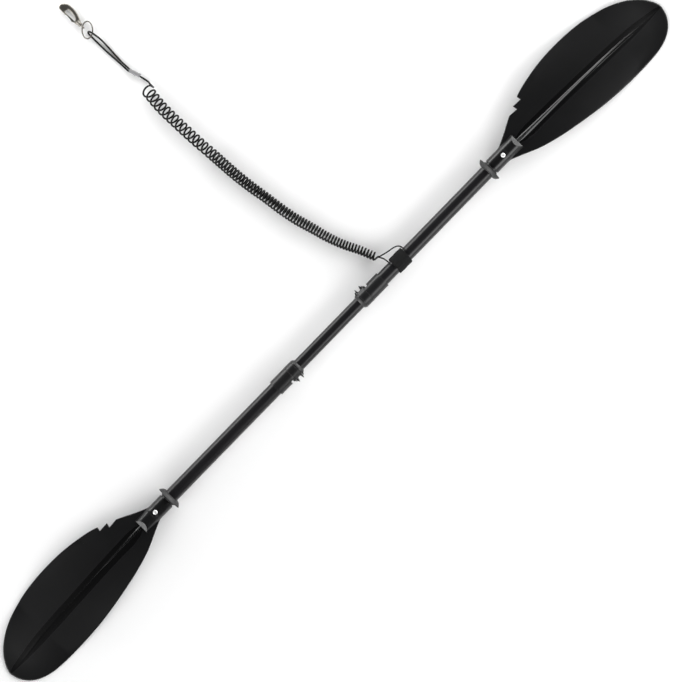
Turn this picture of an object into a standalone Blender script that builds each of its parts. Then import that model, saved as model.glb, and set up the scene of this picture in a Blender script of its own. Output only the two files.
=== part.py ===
"""Two-piece kayak paddle with a telescoping, feathering centre tube and a coiled leash.

Units are metres, +Z is up and +X runs along the shaft to the right blade. The paddle lies on the
plane z = 0 with its ribbed faces up. Shapes on the shaft are written about the shaft's own axis
and lifted by AXIS_Z when they are placed.
"""

import math

import bmesh
import bpy
import numpy as np
from mathutils import Matrix, Vector

# Shaft and centre tube
AXIS_Z = 0.0300
SHAFT_R = 0.0160
SHAFT_BORE = 0.0148
SHAFT_START = 0.1345
SHAFT_END = 0.5720
CENTRE_R = 0.0138
CENTRE_BORE = 0.0126
CENTRE_HALF = 0.2500
TUBE_SIDES = 32
COLLAR_SIDES = 24
RIVET_SIDES = 10

# Gap left between pieces that touch
GAP = 0.0003

# Collar with its flip lever
NOSE_X = 0.0948
COLLAR_END = 0.1668
COLLAR_R = 0.0189
COLLAR_BORE = 0.0141
RECESS_R = 0.0162
RECESS_START = 0.1040
RECESS_END = 0.1228
KERF = (0.1279, 0.1332)
HORN_TIP = 0.0275
PIN_ANGLE = math.radians(215)
PIN_RADIUS_OUT = 0.0195
PIN_R = 0.0013
KNUCKLE_R = 0.0029
LEVER_GAP = 0.0004

# Blade
SOCKET_START = 0.5097
SOCKET_R = 0.0185
SOCKET_STEP = 0.5885
CHAMFER_START = 0.5780
BLADE_TIP = 1.0243
STEP_HEIGHT = 0.0087
BACK_TAPER = (0.5760, 0.6660)
PLATE_START = 0.5495
PLATE_THICK = 0.0036
PLATE_RISE = 0.0020
BLADE_DROP = 0.0325
BLADE_CROWN = 0.0125
CROWN_PLACE = 0.72
BLADE_RIM = 0.0030
RIVET_X = 0.5434
RIVET_HOLE_R = 0.0025

# Drip ring and bung
RING_X = 0.4937
BUNG = (0.4600, 0.4900)

# Leash
CUFF = (0.2040, 0.2430)
CUFF_R = 0.0208
COIL_R = 0.0140
CORD_R = 0.0021
BAIL_R = 0.0016

# Edges of the right blade from its socket to its tip, as (x, y)
NOTCHED_EDGE = [
    (0.500, 0.0185), (0.530, 0.0185), (0.549, 0.0192), (0.572, 0.0286), (0.616, 0.0506),
    (0.664, 0.0704), (0.704, 0.0800), (0.750, 0.0864), (0.796, 0.0880), (0.836, 0.0865),
    (0.880, 0.0810), (0.928, 0.0685), (0.960, 0.0550), (0.986, 0.0385), (1.006, 0.0195),
    (1.019, -0.0010), (BLADE_TIP, -0.0160),
]
PLAIN_EDGE = [
    (0.500, -0.0185), (0.530, -0.0185), (0.549, -0.0192), (0.572, -0.0284), (0.616, -0.0475),
    (0.664, -0.0612), (0.704, -0.0695), (0.750, -0.0775), (0.796, -0.0835), (0.840, -0.0868),
    (0.890, -0.0880), (0.930, -0.0868), (0.960, -0.0830), (0.986, -0.0740), (1.006, -0.0595),
    (1.019, -0.0405), (BLADE_TIP, -0.0220),
]
# Two barbed notches in the edge, each as (corner, root, overhanging tip)
NOTCHES = [
    ((0.6160, 0.0506), (0.6380, 0.0490), (0.6358, 0.0594)),
    ((0.6358, 0.0594), (0.6589, 0.0585), (0.6567, 0.0675)),
]
# How sharply the spine's flanks rise to its crest
SPINE_POWER = 3
# The spine rib: x, lower edge, crest, upper edge, height above the plate
RIB = [
    (0.5885, -0.0050, 0.0000, 0.0050, 0.0062),
    (0.6020, -0.0115, -0.0003, 0.0095, 0.0064),
    (0.6257, -0.0155, -0.0008, 0.0114, 0.0062),
    (0.6910, -0.0148, -0.0024, 0.0092, 0.0054),
    (0.7890, -0.0179, -0.0050, 0.0050, 0.0046),
    (0.8540, -0.0204, -0.0075, 0.0026, 0.0039),
    (0.9190, -0.0222, -0.0108, -0.0008, 0.0032),
    (0.9760, -0.0222, -0.0170, -0.0081, 0.0018),
    (1.0080, -0.0208, -0.0192, -0.0128, 0.0004),
    (BLADE_TIP, -0.0200, -0.0190, -0.0180, 0.0000),
]

# Route of the coil's centre line over the floor, then of the plain cord, as (x, y)
COIL_ROUTE = [
    (0.1915, 0.0455), (0.1784, 0.0798), (0.1625, 0.1134), (0.1495, 0.1495), (0.1397, 0.1886),
    (0.1295, 0.2261), (0.1221, 0.2666), (0.1168, 0.3088), (0.1107, 0.3506), (0.1062, 0.3953),
    (0.1033, 0.4530), (0.1001, 0.5060), (0.0989, 0.5500), (0.0988, 0.6100), (0.1040, 0.6600),
]
LEAD_ROUTE = [
    (0.1180, 0.6650, 0.0090), (0.1190, 0.6690, 0.0045), (0.1188, 0.6735, 0.0024),
    (0.1178, 0.6795, 0.0023), (0.1162, 0.6865, 0.0029), (0.1152, 0.6905, 0.0040),
]
# The loop leaves the crimp, passes over the ring's wire, down through it and back underneath
LOOP_ROUTE = [
    (0.1101, 0.7205, 0.0058), (0.1096, 0.7440, 0.0034), (0.1108, 0.7660, 0.0026),
    (0.1124, 0.7920, 0.0030), (0.1126, 0.8120, 0.0060), (0.1108, 0.8260, 0.0094),
    (0.1092, 0.8350, 0.0104), (0.1062, 0.8412, 0.0074), (0.1036, 0.8396, 0.0034),
    (0.1030, 0.8330, 0.0022), (0.1026, 0.8110, 0.0022), (0.1026, 0.7870, 0.0022),
    (0.1036, 0.7660, 0.0022), (0.1048, 0.7440, 0.0026), (0.1055, 0.7200, 0.0044),
]
BAIL_ROUTE = [
    (0.2022, 0.0120, 0.0482), (0.2016, 0.0215, 0.0424), (0.2000, 0.0305, 0.0304),
    (0.1968, 0.0378, 0.0215), (0.1955, 0.0402, 0.0192), (0.2016, 0.0382, 0.0205),
    (0.2180, 0.0338, 0.0240), (0.2320, 0.0310, 0.0290), (0.2415, 0.0266, 0.0352),
    (0.2458, 0.0194, 0.0412), (0.2458, 0.0124, 0.0464), (0.2452, 0.0084, 0.0494),
]
CRIMP_ENDS = ((0.1160, 0.6925, 0.0050), (0.1082, 0.7185, 0.0050))
CRIMP_HALF = (0.0046, 0.0036)
SPLIT_RING_CENTRE = (0.1070, 0.8460, 0.0060)
SPLIT_RING_HALF = (0.0190, 0.0115)
SPLIT_RING_WIRE = 0.0014

# Snap hook, which lies along +Y from the middle of its swivel's eye
HOOK_X = 0.1048
HOOK_Y = 0.8586
HOOK_Z = 0.0055
HOOK_THICK = 0.0060
EYE_R = 0.0038
EYE_WIRE = 0.0016
GATE_PIVOT = (HOOK_X - 0.0040, HOOK_Y + 0.0165)
GATE_END = 0.0268
GATE_PIN_R = 0.0009


def clear_scene():
    """Take away every object that a new file starts with."""
    for thing in list(bpy.data.objects):
        bpy.data.objects.remove(thing, do_unlink=True)


def material(name, colour, roughness, metallic=0.0):
    """Return a plain Principled material."""
    made = bpy.data.materials.new(name)
    made.use_nodes = True
    shader = made.node_tree.nodes["Principled BSDF"]
    shader.inputs["Base Color"].default_value = (*colour, 1.0)
    shader.inputs["Roughness"].default_value = roughness
    shader.inputs["Metallic"].default_value = metallic
    return made


def solid(name, form, look, origin=(0.0, 0.0, 0.0), turn=0.0, parent=None):
    """Make an object from a bmesh, with its origin at a point, turned about the vertical there."""
    bmesh.ops.remove_doubles(form, verts=form.verts, dist=1e-7)
    bmesh.ops.recalc_face_normals(form, faces=form.faces)
    form.transform(Matrix.Translation(-Vector(origin)))
    mesh = bpy.data.meshes.new(name)
    form.to_mesh(mesh)
    form.free()
    made = bpy.data.objects.new(name, mesh)
    bpy.context.scene.collection.objects.link(made)
    made.location = Matrix.Rotation(turn, 3, "Z") @ Vector(origin) + Vector((0, 0, AXIS_Z))
    made.rotation_euler.z = turn
    if look:
        mesh.materials.append(look)
    if parent:
        attach(made, parent)
    return made


def attach(made, parent):
    """Parent an object to an empty without moving it."""
    made.parent = parent
    made.matrix_parent_inverse = Matrix.Translation(-parent.location)


def empty(name, place):
    """Make an empty at a joint."""
    made = bpy.data.objects.new(name, None)
    bpy.context.scene.collection.objects.link(made)
    made.location = place
    return made


def combine(target, form, operation, origin=(0.0, 0.0, 0.0), turn=0.0):
    """Cut a form from an object, or join it on, with an exact Boolean that stays live."""
    tool = solid(f"{target.name}_{operation.lower()}", form, None, origin, turn)
    tool.hide_render = True
    tool.display_type = "WIRE"
    step = target.modifiers.new(tool.name, "BOOLEAN")
    step.operation = operation
    step.solver = "EXACT"
    step.object = tool


def turned(profile, sides, axis="X", closed=True, centre=(0.0, 0.0, 0.0)):
    """Turn a profile of (distance along the axis, radius) points about an axis.

    A closed profile gives a ring. An open one starts and ends on the axis, at radius zero.
    """
    form = bmesh.new()
    angles = np.arange(sides) * 2 * math.pi / sides
    rings = []
    for along, radius in profile:
        if radius == 0:
            spots = [(along, 0.0, 0.0)]
        else:
            spots = [(along, radius * math.cos(a), radius * math.sin(a)) for a in angles]
        if axis == "Z":
            spots = [(s[1], s[2], s[0]) for s in spots]
        if axis == "Y":
            spots = [(s[2], s[0], s[1]) for s in spots]
        rings.append([form.verts.new(Vector(s) + Vector(centre)) for s in spots])
    pairs = list(zip(rings, rings[1:]))
    if closed:
        pairs.append((rings[-1], rings[0]))
    for first, second in pairs:
        for i in range(sides):
            j = (i + 1) % sides
            corners = [first[i % len(first)], first[j % len(first)],
                       second[j % len(second)], second[i % len(second)]]
            corners = list(dict.fromkeys(corners))
            if len(corners) > 2:
                form.faces.new(corners)
    return form


def extruded(outline, low, high, axis="X"):
    """Extrude an outline along an axis. The outline is in (Y, Z) for X and in (X, Y) for Z."""
    form = bmesh.new()
    if axis == "X":
        base = [form.verts.new((low, a, b)) for a, b in outline]
        reach = Vector((high - low, 0, 0))
    else:
        base = [form.verts.new((a, b, low)) for a, b in outline]
        reach = Vector((0, 0, high - low))
    face = form.faces.new(base)
    made = bmesh.ops.extrude_face_region(form, geom=[face])
    moved = [v for v in made["geom"] if isinstance(v, bmesh.types.BMVert)]
    bmesh.ops.translate(form, verts=moved, vec=reach)
    return form


def arc(radius, start, end, count, centre=(0.0, 0.0)):
    """Points along an arc, both ends included."""
    angles = np.linspace(start, end, count)
    return [(centre[0] + radius * math.cos(a), centre[1] + radius * math.sin(a)) for a in angles]


def smooth_curve(points, count):
    """Catmull-Rom curve through points, at count places spaced evenly along it."""
    knots = np.array(points, dtype=float)
    ends = np.vstack([2 * knots[0] - knots[1], knots, 2 * knots[-1] - knots[-2]])
    fine = []
    for i in range(len(knots) - 1):
        a, b, c, d = ends[i:i + 4]
        t = np.linspace(0, 1, 24, endpoint=False)[:, None]
        fine.append(0.5 * (2 * b + (c - a) * t + (2 * a - 5 * b + 4 * c - d) * t**2
                           + (3 * b - a - 3 * c + d) * t**3))
    fine = np.vstack([*fine, knots[-1:]])
    reach = np.concatenate([[0], np.cumsum(np.linalg.norm(np.diff(fine, axis=0), axis=1))])
    spots = np.linspace(0, reach[-1], count)
    return np.column_stack([np.interp(spots, reach, fine[:, k]) for k in range(fine.shape[1])])


def tube_curve(name, points, radius, resolution, look):
    """A round cord or wire along points, as a bevelled poly curve with filled caps."""
    curve = bpy.data.curves.new(name, "CURVE")
    curve.dimensions = "3D"
    curve.bevel_depth = radius
    curve.bevel_resolution = resolution
    curve.resolution_u = 1
    curve.render_resolution_u = 0
    curve.use_fill_caps = True
    line = curve.splines.new("POLY")
    line.points.add(len(points) - 1)
    for spot, place in zip(line.points, points):
        spot.co = (*place, 1.0)
    made = bpy.data.objects.new(name, curve)
    bpy.context.scene.collection.objects.link(made)
    curve.materials.append(look)


def pin_centre():
    """Centre of the lever's pin in the plane across the shaft."""
    return (PIN_RADIUS_OUT * math.cos(PIN_ANGLE), PIN_RADIUS_OUT * math.sin(PIN_ANGLE))


def collar(name, turn, look, parent):
    """Moulded ferrule: a sleeve with a recess for the lever, cheeks, pin lugs, kerf and window."""
    profile = [
        (NOSE_X, COLLAR_BORE), (NOSE_X, 0.0146), (0.0975, 0.0172), (0.1012, COLLAR_R),
        (RECESS_START, COLLAR_R), (RECESS_START, RECESS_R), (RECESS_END, RECESS_R),
        (RECESS_END, COLLAR_R), (COLLAR_END - 0.0006, COLLAR_R), (COLLAR_END, COLLAR_R - 0.0006),
        (COLLAR_END, SHAFT_R + GAP), (SHAFT_START - GAP, SHAFT_R + GAP),
        (SHAFT_START - GAP, COLLAR_BORE),
    ]
    made = solid(name, turned(profile, COLLAR_SIDES), look, turn=turn, parent=parent)
    front = [(0.0990, 0.0150), (RECESS_START, 0.0150), (RECESS_START, 0.0226), (0.1016, 0.0216)]
    back = [(RECESS_END, 0.0150), (KERF[0], 0.0150), (KERF[0], 0.0176), (0.1262, 0.0186),
            (RECESS_END + 0.0005, 0.0232), (RECESS_END, 0.0232)]
    for cheek in (front, back):
        combine(made, extruded(cheek, -0.0060, 0.0095, axis="Z"), "UNION", turn=turn)
    across, up = pin_centre()
    for low, high in ((RECESS_START - 0.0032, RECESS_START), (RECESS_END, RECESS_END + 0.0032)):
        lug = turned([(low, 0), (low, 0.0031), (high, 0.0031), (high, 0)], 20, closed=False,
                     centre=(0, across, up))
        combine(made, lug, "UNION", turn=turn)
    bore = [(0.0900, 0), (0.0900, COLLAR_BORE), (0.1300, COLLAR_BORE), (0.1300, 0)]
    combine(made, turned(bore, COLLAR_SIDES, closed=False), "DIFFERENCE", turn=turn)
    hole = [(0.0980, 0), (0.0980, PIN_R + GAP), (0.1290, PIN_R + GAP), (0.1290, 0)]
    combine(made, turned(hole, 16, closed=False, centre=(0, across, up)), "DIFFERENCE", turn=turn)
    room = [(RECESS_START + 1e-5, 0), (RECESS_START + 1e-5, KNUCKLE_R + LEVER_GAP),
            (RECESS_END - 1e-5, KNUCKLE_R + LEVER_GAP), (RECESS_END - 1e-5, 0)]
    combine(made, turned(room, 20, closed=False, centre=(0, across, up)), "DIFFERENCE", turn=turn)
    combine(made, shoe_form(GAP), "DIFFERENCE", turn=turn)
    kerf = [(0.0100, -0.0140), (0.0300, -0.0140), (0.0300, 0.0140), (0.0100, 0.0140)]
    combine(made, extruded(kerf, *KERF), "DIFFERENCE", turn=turn)


def shoe_form(spare):
    """Curved pad between the lever's knuckle and the centre tube, grown all round by a gap."""
    half = math.radians(13) + spare / 0.0150
    inner = arc(COLLAR_BORE - (0.0010 if spare else 0), PIN_ANGLE - half, PIN_ANGLE + half, 7)
    outer = arc(RECESS_R + (0.0020 if spare else 0), PIN_ANGLE + half, PIN_ANGLE - half, 7)
    return extruded(inner + outer, 0.1070 - spare, 0.1198 + spare)


def cam_lever(name, turn, look, parent):
    """Band lever over half of the collar, with two horns for the fingers and a knuckle on its pin."""
    across, up = pin_centre()
    inner_r = RECESS_R + LEVER_GAP
    start = math.radians(17)
    lean = math.radians(200)
    outline = [(0.0200, 0.0052), (HORN_TIP - 0.0006, 0.0056), (HORN_TIP, 0.0066),
               (HORN_TIP - 0.0006, 0.0078), (0.0210, 0.0084), (0.0176, 0.0098)]
    outline += arc(COLLAR_R, math.radians(40), lean, 14)
    outline += arc(KNUCKLE_R, math.radians(160), math.radians(345), 9, (across, up))
    outline += arc(inner_r, lean, start, 14)
    pivot = (0.0, across, up)
    made = solid(name, extruded(outline, RECESS_START + LEVER_GAP, RECESS_END - LEVER_GAP), look,
                 origin=pivot, turn=turn, parent=parent)
    valley = arc(0.0021, math.pi, math.radians(270), 5, (0.1108, 0.0204))
    valley += arc(0.0021, math.radians(270), 2 * math.pi, 5, (0.1152, 0.0204))
    valley += [(0.1173, 0.0300), (0.1087, 0.0300)]
    combine(made, extruded(valley, -0.0020, 0.0200, axis="Z"), "DIFFERENCE", pivot, turn)
    bore = [(0.1000, 0), (0.1000, PIN_R + 0.0002), (0.1270, PIN_R + 0.0002), (0.1270, 0)]
    combine(made, turned(bore, 16, closed=False, centre=pivot), "DIFFERENCE", pivot, turn)
    return made


def lever_pin(name, turn, look, parent):
    """Steel pin along the shaft through both lugs and the lever's knuckle."""
    across, up = pin_centre()
    low, high = RECESS_START - 0.0035, RECESS_END + 0.0035
    profile = [(low, 0), (low, PIN_R), (high, PIN_R), (high, 0)]
    return solid(name, turned(profile, 16, closed=False, centre=(0, across, up)), look,
                 origin=(0, across, up), turn=turn, parent=parent)


def column_places(low, high, ribs):
    """Where the grid's lines cross one station, from the plain edge to the notched one."""
    rim = min(BLADE_RIM, 0.15 * (high - low))
    inset = np.array([0.0, 0.15, 1.0]) * rim
    lines = [low + inset, np.linspace(low + rim, ribs[0], 4)[1:]]
    shares = np.array([0.45, 0.80])
    lines += [ribs[0] + (ribs[1] - ribs[0]) * shares, [ribs[1]]]
    lines += [ribs[1] + (ribs[2] - ribs[1]) * (1 - shares[::-1])]
    lines += [np.linspace(ribs[2], high - rim, 4)[:-1], high - inset[::-1]]
    return np.concatenate(lines)


def blade_heights(x, y, low, high, rib):
    """Upper and lower surface of the blade about the shaft's axis at one station."""
    along = min(1.0, max(0.0, (x - SOCKET_STEP) / (BLADE_TIP - SOCKET_STEP)))
    outer = max(0.0, (along - CROWN_PLACE) / (1 - CROWN_PLACE))
    crown = BLADE_CROWN * math.sin(math.pi / 2 * min(1.0, along / CROWN_PLACE))**2 * (1 - 0.92 * outer)
    plate = PLATE_RISE - BLADE_DROP * along**2 - crown * (y / 0.080)**2
    edge = np.minimum(y - low, high - y)
    thick = PLATE_THICK * (0.62 + 0.38 * np.clip(edge / BLADE_RIM, 0, 1)**0.5)
    lower = np.maximum(plate - thick / 2, -AXIS_Z)
    upper = np.maximum(plate + thick / 2, lower + 0.6 * PLATE_THICK)
    flank = np.where(y < rib[1], rib[1] - rib[0], rib[2] - rib[1])
    upper = upper + rib[3] * np.clip(1 - np.abs(y - rib[1]) / flank, 0, 1)**SPINE_POWER

    half_round = np.sqrt(np.clip(SOCKET_R**2 - y**2, 0.0006**2, None))
    if x < PLATE_START:
        return half_round, -half_round
    inside = np.abs(y) < SOCKET_R
    if x <= SOCKET_STEP:
        slope = (SOCKET_R - STEP_HEIGHT) / (SOCKET_STEP - CHAMFER_START)
        top = np.minimum(half_round, SOCKET_R - slope * (x - CHAMFER_START))
        upper = np.where(inside, np.maximum(upper, top), upper)
    fade = min(1.0, max(0.0, (x - BACK_TAPER[0]) / (BACK_TAPER[1] - BACK_TAPER[0])))
    left = 1 - fade * fade * (3 - 2 * fade)
    belly = -half_round * left + STEP_HEIGHT * (1 - left)
    lower = np.where(inside, np.minimum(lower, belly), lower)
    return upper, lower


def blade_form(side):
    """One blade as a closed grid: rows across it along its length, upper and lower faces, rims."""
    notched = smooth_curve(NOTCHED_EDGE, 400)
    plain = smooth_curve(PLAIN_EDGE, 400)
    rib_table = np.array(RIB)
    stations = [SOCKET_START, 0.5300, 0.5490, 0.5500, 0.5640, 0.5720, CHAMFER_START, 0.5832,
                SOCKET_STEP, SOCKET_STEP + 0.0002, 0.6020, 0.6150, 0.6270]
    stations += list(np.linspace(0.6500, 0.9600, 9))
    stations += list(BLADE_TIP - 0.0580 * (1 - np.sin(np.linspace(0.1, 1, 7) * math.pi / 2)))
    form = bmesh.new()
    rows = []
    for x in stations:
        low = np.interp(x, plain[:, 0], plain[:, 1])
        high = np.interp(x, notched[:, 0], notched[:, 1])
        rib = [np.interp(x, rib_table[:, 0], rib_table[:, k]) for k in (1, 2, 3, 4)]
        if x <= SOCKET_STEP:
            rib = [-0.0055, 0.0, 0.0055, 0.0]
        y = column_places(low, high, rib)
        upper, lower = blade_heights(x, y, low, high, rib)
        top = [form.verts.new((side * x, a, b)) for a, b in zip(y, upper)]
        bottom = [form.verts.new((side * x, a, b)) for a, b in zip(y, lower)]
        rows.append(top + bottom[::-1])
    count = len(rows[0])
    for first, second in zip(rows, rows[1:]):
        for i in range(count):
            j = (i + 1) % count
            form.faces.new((first[i], first[j], second[j], second[i]))
    form.faces.new(rows[0])
    form.faces.new(rows[-1])
    bmesh.ops.triangulate(form, faces=[f for f in form.faces if len(f.verts) == 4])
    return form


def blade(name, side, look, parent):
    """Moulded blade with its socket bored for the shaft, rivet holes and two barbed notches."""
    made = solid(name, blade_form(side), look, parent=parent)
    bore = [(0.5000, 0), (0.5000, SHAFT_R + GAP), (SHAFT_END + 0.0010, SHAFT_R + GAP),
            (SHAFT_END + 0.0010, 0)]
    combine(made, turned([(side * a, b) for a, b in bore], TUBE_SIDES, closed=False), "DIFFERENCE")
    combine(made, rivet_hole(side), "DIFFERENCE")
    for corner, root, tip in NOTCHES:
        outline = [corner, root, tip, (tip[0], tip[1] + 0.0200), (corner[0], tip[1] + 0.0200)]
        outline = [(side * a, b) for a, b in outline]
        combine(made, extruded(outline, -0.0300, 0.0100, axis="Z"), "DIFFERENCE")


def rivet_hole(side):
    """Drill through the socket and the shaft for both rivets."""
    hole = [(-0.0300, 0), (-0.0300, RIVET_HOLE_R), (0.0300, RIVET_HOLE_R), (0.0300, 0)]
    return turned(hole, 16, axis="Z", closed=False, centre=(side * RIVET_X, 0, 0))


def rivet(name, side, face, look, parent):
    """Blind rivet: domed head with its pulled core, shank, and bulb inside the shaft."""
    seat = SOCKET_R + GAP
    profile = [
        (0.0122, 0), (0.0122, 0.0021), (0.0130, 0.0030), (0.0139, 0.0021), (seat, 0.0021),
        (seat, 0.0050), (seat + 0.0006, 0.0049), (seat + 0.0015, 0.0034), (seat + 0.0018, 0.0018),
        (seat + 0.0008, 0.0013), (seat + 0.0008, 0),
    ]
    form = turned([(face * a, b) for a, b in profile], RIVET_SIDES, axis="Z", closed=False,
                  centre=(side * RIVET_X, 0, 0))
    return solid(name, form, look, origin=(side * RIVET_X, 0, 0), parent=parent)


def pipe(name, start, end, outer, inner, look, parent, side=1):
    """Round tube along the shaft's axis."""
    profile = [(start, outer), (end, outer), (end, inner), (start, inner)]
    return solid(name, turned([(side * a, b) for a, b in profile], TUBE_SIDES), look, parent=parent)


def drip_ring(name, side, look, parent):
    """Soft cup that opens towards the blade, on a short hub that grips the shaft."""
    grip = SHAFT_R + GAP
    profile = [
        (0, grip), (0, 0.0205), (0.0021, 0.0240), (0.0053, 0.0270), (0.0094, 0.0297),
        (0.0088, 0.0284), (0.0060, 0.0250), (0.0041, 0.0210), (0.0044, 0.0187), (0.0096, 0.0183),
        (0.0100, 0.0175), (0.0106, 0.0175), (0.0110, 0.0183), (0.0124, 0.0182), (0.0130, 0.0176),
        (0.0130, grip),
    ]
    form = turned([(side * (RING_X + a), b) for a, b in profile], COLLAR_SIDES)
    return solid(name, form, look, origin=(side * RING_X, 0, 0), parent=parent)


def guide_plug(name, side, look, parent):
    """Plug whose spigot turns in the centre tube's end and whose flange slides in the shaft."""
    end = CENTRE_HALF + GAP
    profile = [
        (end - 0.0220, 0), (end - 0.0220, 0.0113), (end - 0.0210, 0.0123), (end, 0.0123),
        (end, 0.0144), (end + 0.0090, 0.0144), (end + 0.0100, 0.0134), (end + 0.0100, 0),
    ]
    form = turned([(side * a, b) for a, b in profile], TUBE_SIDES, closed=False)
    return solid(name, form, look, origin=(side * end, 0, 0), parent=parent)


def bung(name, side, look, parent):
    """Foam plug that seals the shaft."""
    radius = SHAFT_BORE - GAP
    profile = [(BUNG[0], 0), (BUNG[0], radius), (BUNG[1], radius), (BUNG[1], 0)]
    form = turned([(side * a, b) for a, b in profile], TUBE_SIDES, closed=False)
    return solid(name, form, look, parent=parent)


def cuff(name, look, parent):
    """Hook-and-loop strap wound round the right shaft."""
    low, high = CUFF
    profile = [
        (low, SHAFT_R + GAP), (low, CUFF_R - 0.0012), (low + 0.0012, CUFF_R),
        (high - 0.0012, CUFF_R), (high, CUFF_R - 0.0012), (high, SHAFT_R + GAP),
    ]
    return solid(name, turned(profile, COLLAR_SIDES), look, parent=parent)


def half(side, looks, parent):
    """Shaft, blade, rivets, bung and collar of one half. The left collar is turned half round."""
    word = "right" if side > 0 else "left"
    turn = 0.0 if side > 0 else math.pi
    shaft = pipe(f"{word}_shaft", SHAFT_START, SHAFT_END, SHAFT_R, SHAFT_BORE, looks["shaft"], parent,
                 side)
    combine(shaft, rivet_hole(side), "DIFFERENCE")
    blade(f"{word}_blade", side, looks["blade"], parent)
    rivet(f"{word}_rivet_top", side, 1, looks["rivet"], parent)
    rivet(f"{word}_rivet_bottom", side, -1, looks["rivet"], parent)
    bung(f"{word}_shaft_bung", side, looks["foam"], parent)
    collar(f"{word}_collar", turn, looks["collar"], parent)
    lever_pin(f"{word}_lever_pin", turn, looks["steel"], parent)
    solid(f"{word}_brake_shoe", shoe_form(0.0), looks["rubber"], turn=turn, parent=parent)
    cam_lever(f"{word}_cam_lever", turn, looks["collar"], parent)
    drip_ring(f"{word}_drip_ring", side, looks["rubber"], parent)


def lift(form):
    """Bring a form written in world heights to heights about the shaft's axis."""
    form.transform(Matrix.Translation((0, 0, -AXIS_Z)))
    return form


def crimp(name, look):
    """Oval sleeve squeezed over both strands of the loop."""
    start, end = Vector(CRIMP_ENDS[0]), Vector(CRIMP_ENDS[1])
    run = end - start
    wide = run.cross(Vector((0, 0, 1))).normalized()
    form = bmesh.new()
    rings = []
    for share, size in ((0, 0.82), (0.06, 1.0), (0.94, 1.0), (1, 0.82)):
        ring = []
        for a in np.arange(16) * 2 * math.pi / 16:
            spot = start + run * share + wide * (CRIMP_HALF[0] * size * math.cos(a))
            ring.append(form.verts.new(spot + Vector((0, 0, CRIMP_HALF[1] * size * math.sin(a)))))
        rings.append(ring)
    for first, second in zip(rings, rings[1:]):
        for i in range(16):
            j = (i + 1) % 16
            form.faces.new((first[i], first[j], second[j], second[i]))
    form.faces.new(rings[0])
    form.faces.new(rings[-1])
    return solid(name, lift(form), look)


def ring_loop(name, look):
    """Oval split ring of round wire, lying flat."""
    form = bmesh.new()
    sides, steps = 8, 36
    lean = math.radians(45)
    rings = []
    for a in np.arange(steps) * 2 * math.pi / steps:
        flat = Vector((SPLIT_RING_HALF[0] * math.cos(a), SPLIT_RING_HALF[1] * math.sin(a), 0))
        out = Vector((math.cos(a) / SPLIT_RING_HALF[0], math.sin(a) / SPLIT_RING_HALF[1], 0)).normalized()
        ring = []
        for b in np.arange(sides) * 2 * math.pi / sides:
            up = Vector((0, 0, SPLIT_RING_WIRE * math.sin(b)))
            spot = flat + out * (SPLIT_RING_WIRE * math.cos(b)) + up
            spot = Matrix.Rotation(lean, 3, "Z") @ spot + Vector(SPLIT_RING_CENTRE)
            ring.append(form.verts.new(spot))
        rings.append(ring)
    for i in range(steps):
        for k in range(sides):
            m = (k + 1) % sides
            first, second = rings[i], rings[(i + 1) % steps]
            form.faces.new((first[k], first[m], second[m], second[k]))
    return solid(name, lift(form), look)


def place_from_hook(points):
    """Shift points written from the middle of the hook's eye to their place."""
    return [(HOOK_X + a, HOOK_Y + b) for a, b in points]


def hook_outline():
    """Outline of the snap hook's body in plan: spine, bend and nose, open on the gate's side."""
    outer = smooth_curve([(0.0052, 0.0086), (0.0100, 0.0200), (0.0148, 0.0370), (0.0144, 0.0520),
                          (0.0100, 0.0625), (0.0040, 0.0678), (-0.0020, 0.0690),
                          (-0.0064, 0.0665), (-0.0080, 0.0610), (-0.0078, 0.0520),
                          (-0.0076, 0.0440)], 26)
    inner = smooth_curve([(-0.0040, 0.0440), (-0.0032, 0.0484), (0.0000, 0.0506), (0.0036, 0.0494),
                          (0.0054, 0.0448), (0.0052, 0.0372), (0.0038, 0.0285), (0.0002, 0.0225),
                          (-0.0050, 0.0198)], 18)
    heel = [(-0.0066, 0.0178), (-0.0066, 0.0145), (-0.0046, 0.0086)]
    return place_from_hook([*outer, *inner, *heel])


def hook_body(look, level, parent):
    """Flat cast body with a hole for the swivel's stem, and a slot and a hole for the gate."""
    low, high = level - HOOK_THICK / 2, level + HOOK_THICK / 2
    pivot = (HOOK_X, HOOK_Y, level)
    made = solid("hook_body", extruded(hook_outline(), low, high, axis="Z"), look, origin=pivot,
                 parent=parent)
    stem = [(0.0070, 0), (0.0070, 0.0020), (0.0130, 0.0020), (0.0130, 0)]
    combine(made, turned(stem, 12, "Y", False, pivot), "DIFFERENCE", pivot)
    slot = place_from_hook([(-0.0120, 0.0132), (0.0005, 0.0132), (0.0005, 0.0280),
                            (-0.0120, 0.0280)])
    combine(made, extruded(slot, level - 0.0016, level + 0.0016, axis="Z"), "DIFFERENCE", pivot)
    hole = [(-0.0050, 0), (-0.0050, GATE_PIN_R + GAP), (0.0050, GATE_PIN_R + GAP), (0.0050, 0)]
    combine(made, turned(hole, 12, "Z", False, (*GATE_PIVOT, level)), "DIFFERENCE", pivot)


def hook_gate(look, level, parent):
    """Sprung gate: a flat bar from its pin to the hook's nose, with a catch for the thumb."""
    x, y = GATE_PIVOT
    disc = arc(0.0023, math.radians(60), math.radians(-190), 9, GATE_PIVOT)
    bar = [(x - 0.0030, y + 0.0050), (x - 0.0052, y + 0.0082), (x - 0.0046, y + 0.0096),
           (x - 0.0024, y + 0.0090), (x - 0.0022, y + GATE_END), (x + 0.0000, y + GATE_END),
           (x + 0.0002, y + 0.0090)]
    made = solid("hook_gate", extruded(disc + bar, level - 0.0013, level + 0.0003, axis="Z"), look,
                 origin=(x, y, level), parent=parent)
    bore = [(-0.0040, 0), (-0.0040, GATE_PIN_R + 0.0002), (0.0040, GATE_PIN_R + 0.0002), (0.0040, 0)]
    combine(made, turned(bore, 12, "Z", False, (x, y, level)), "DIFFERENCE", (x, y, level))


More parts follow.
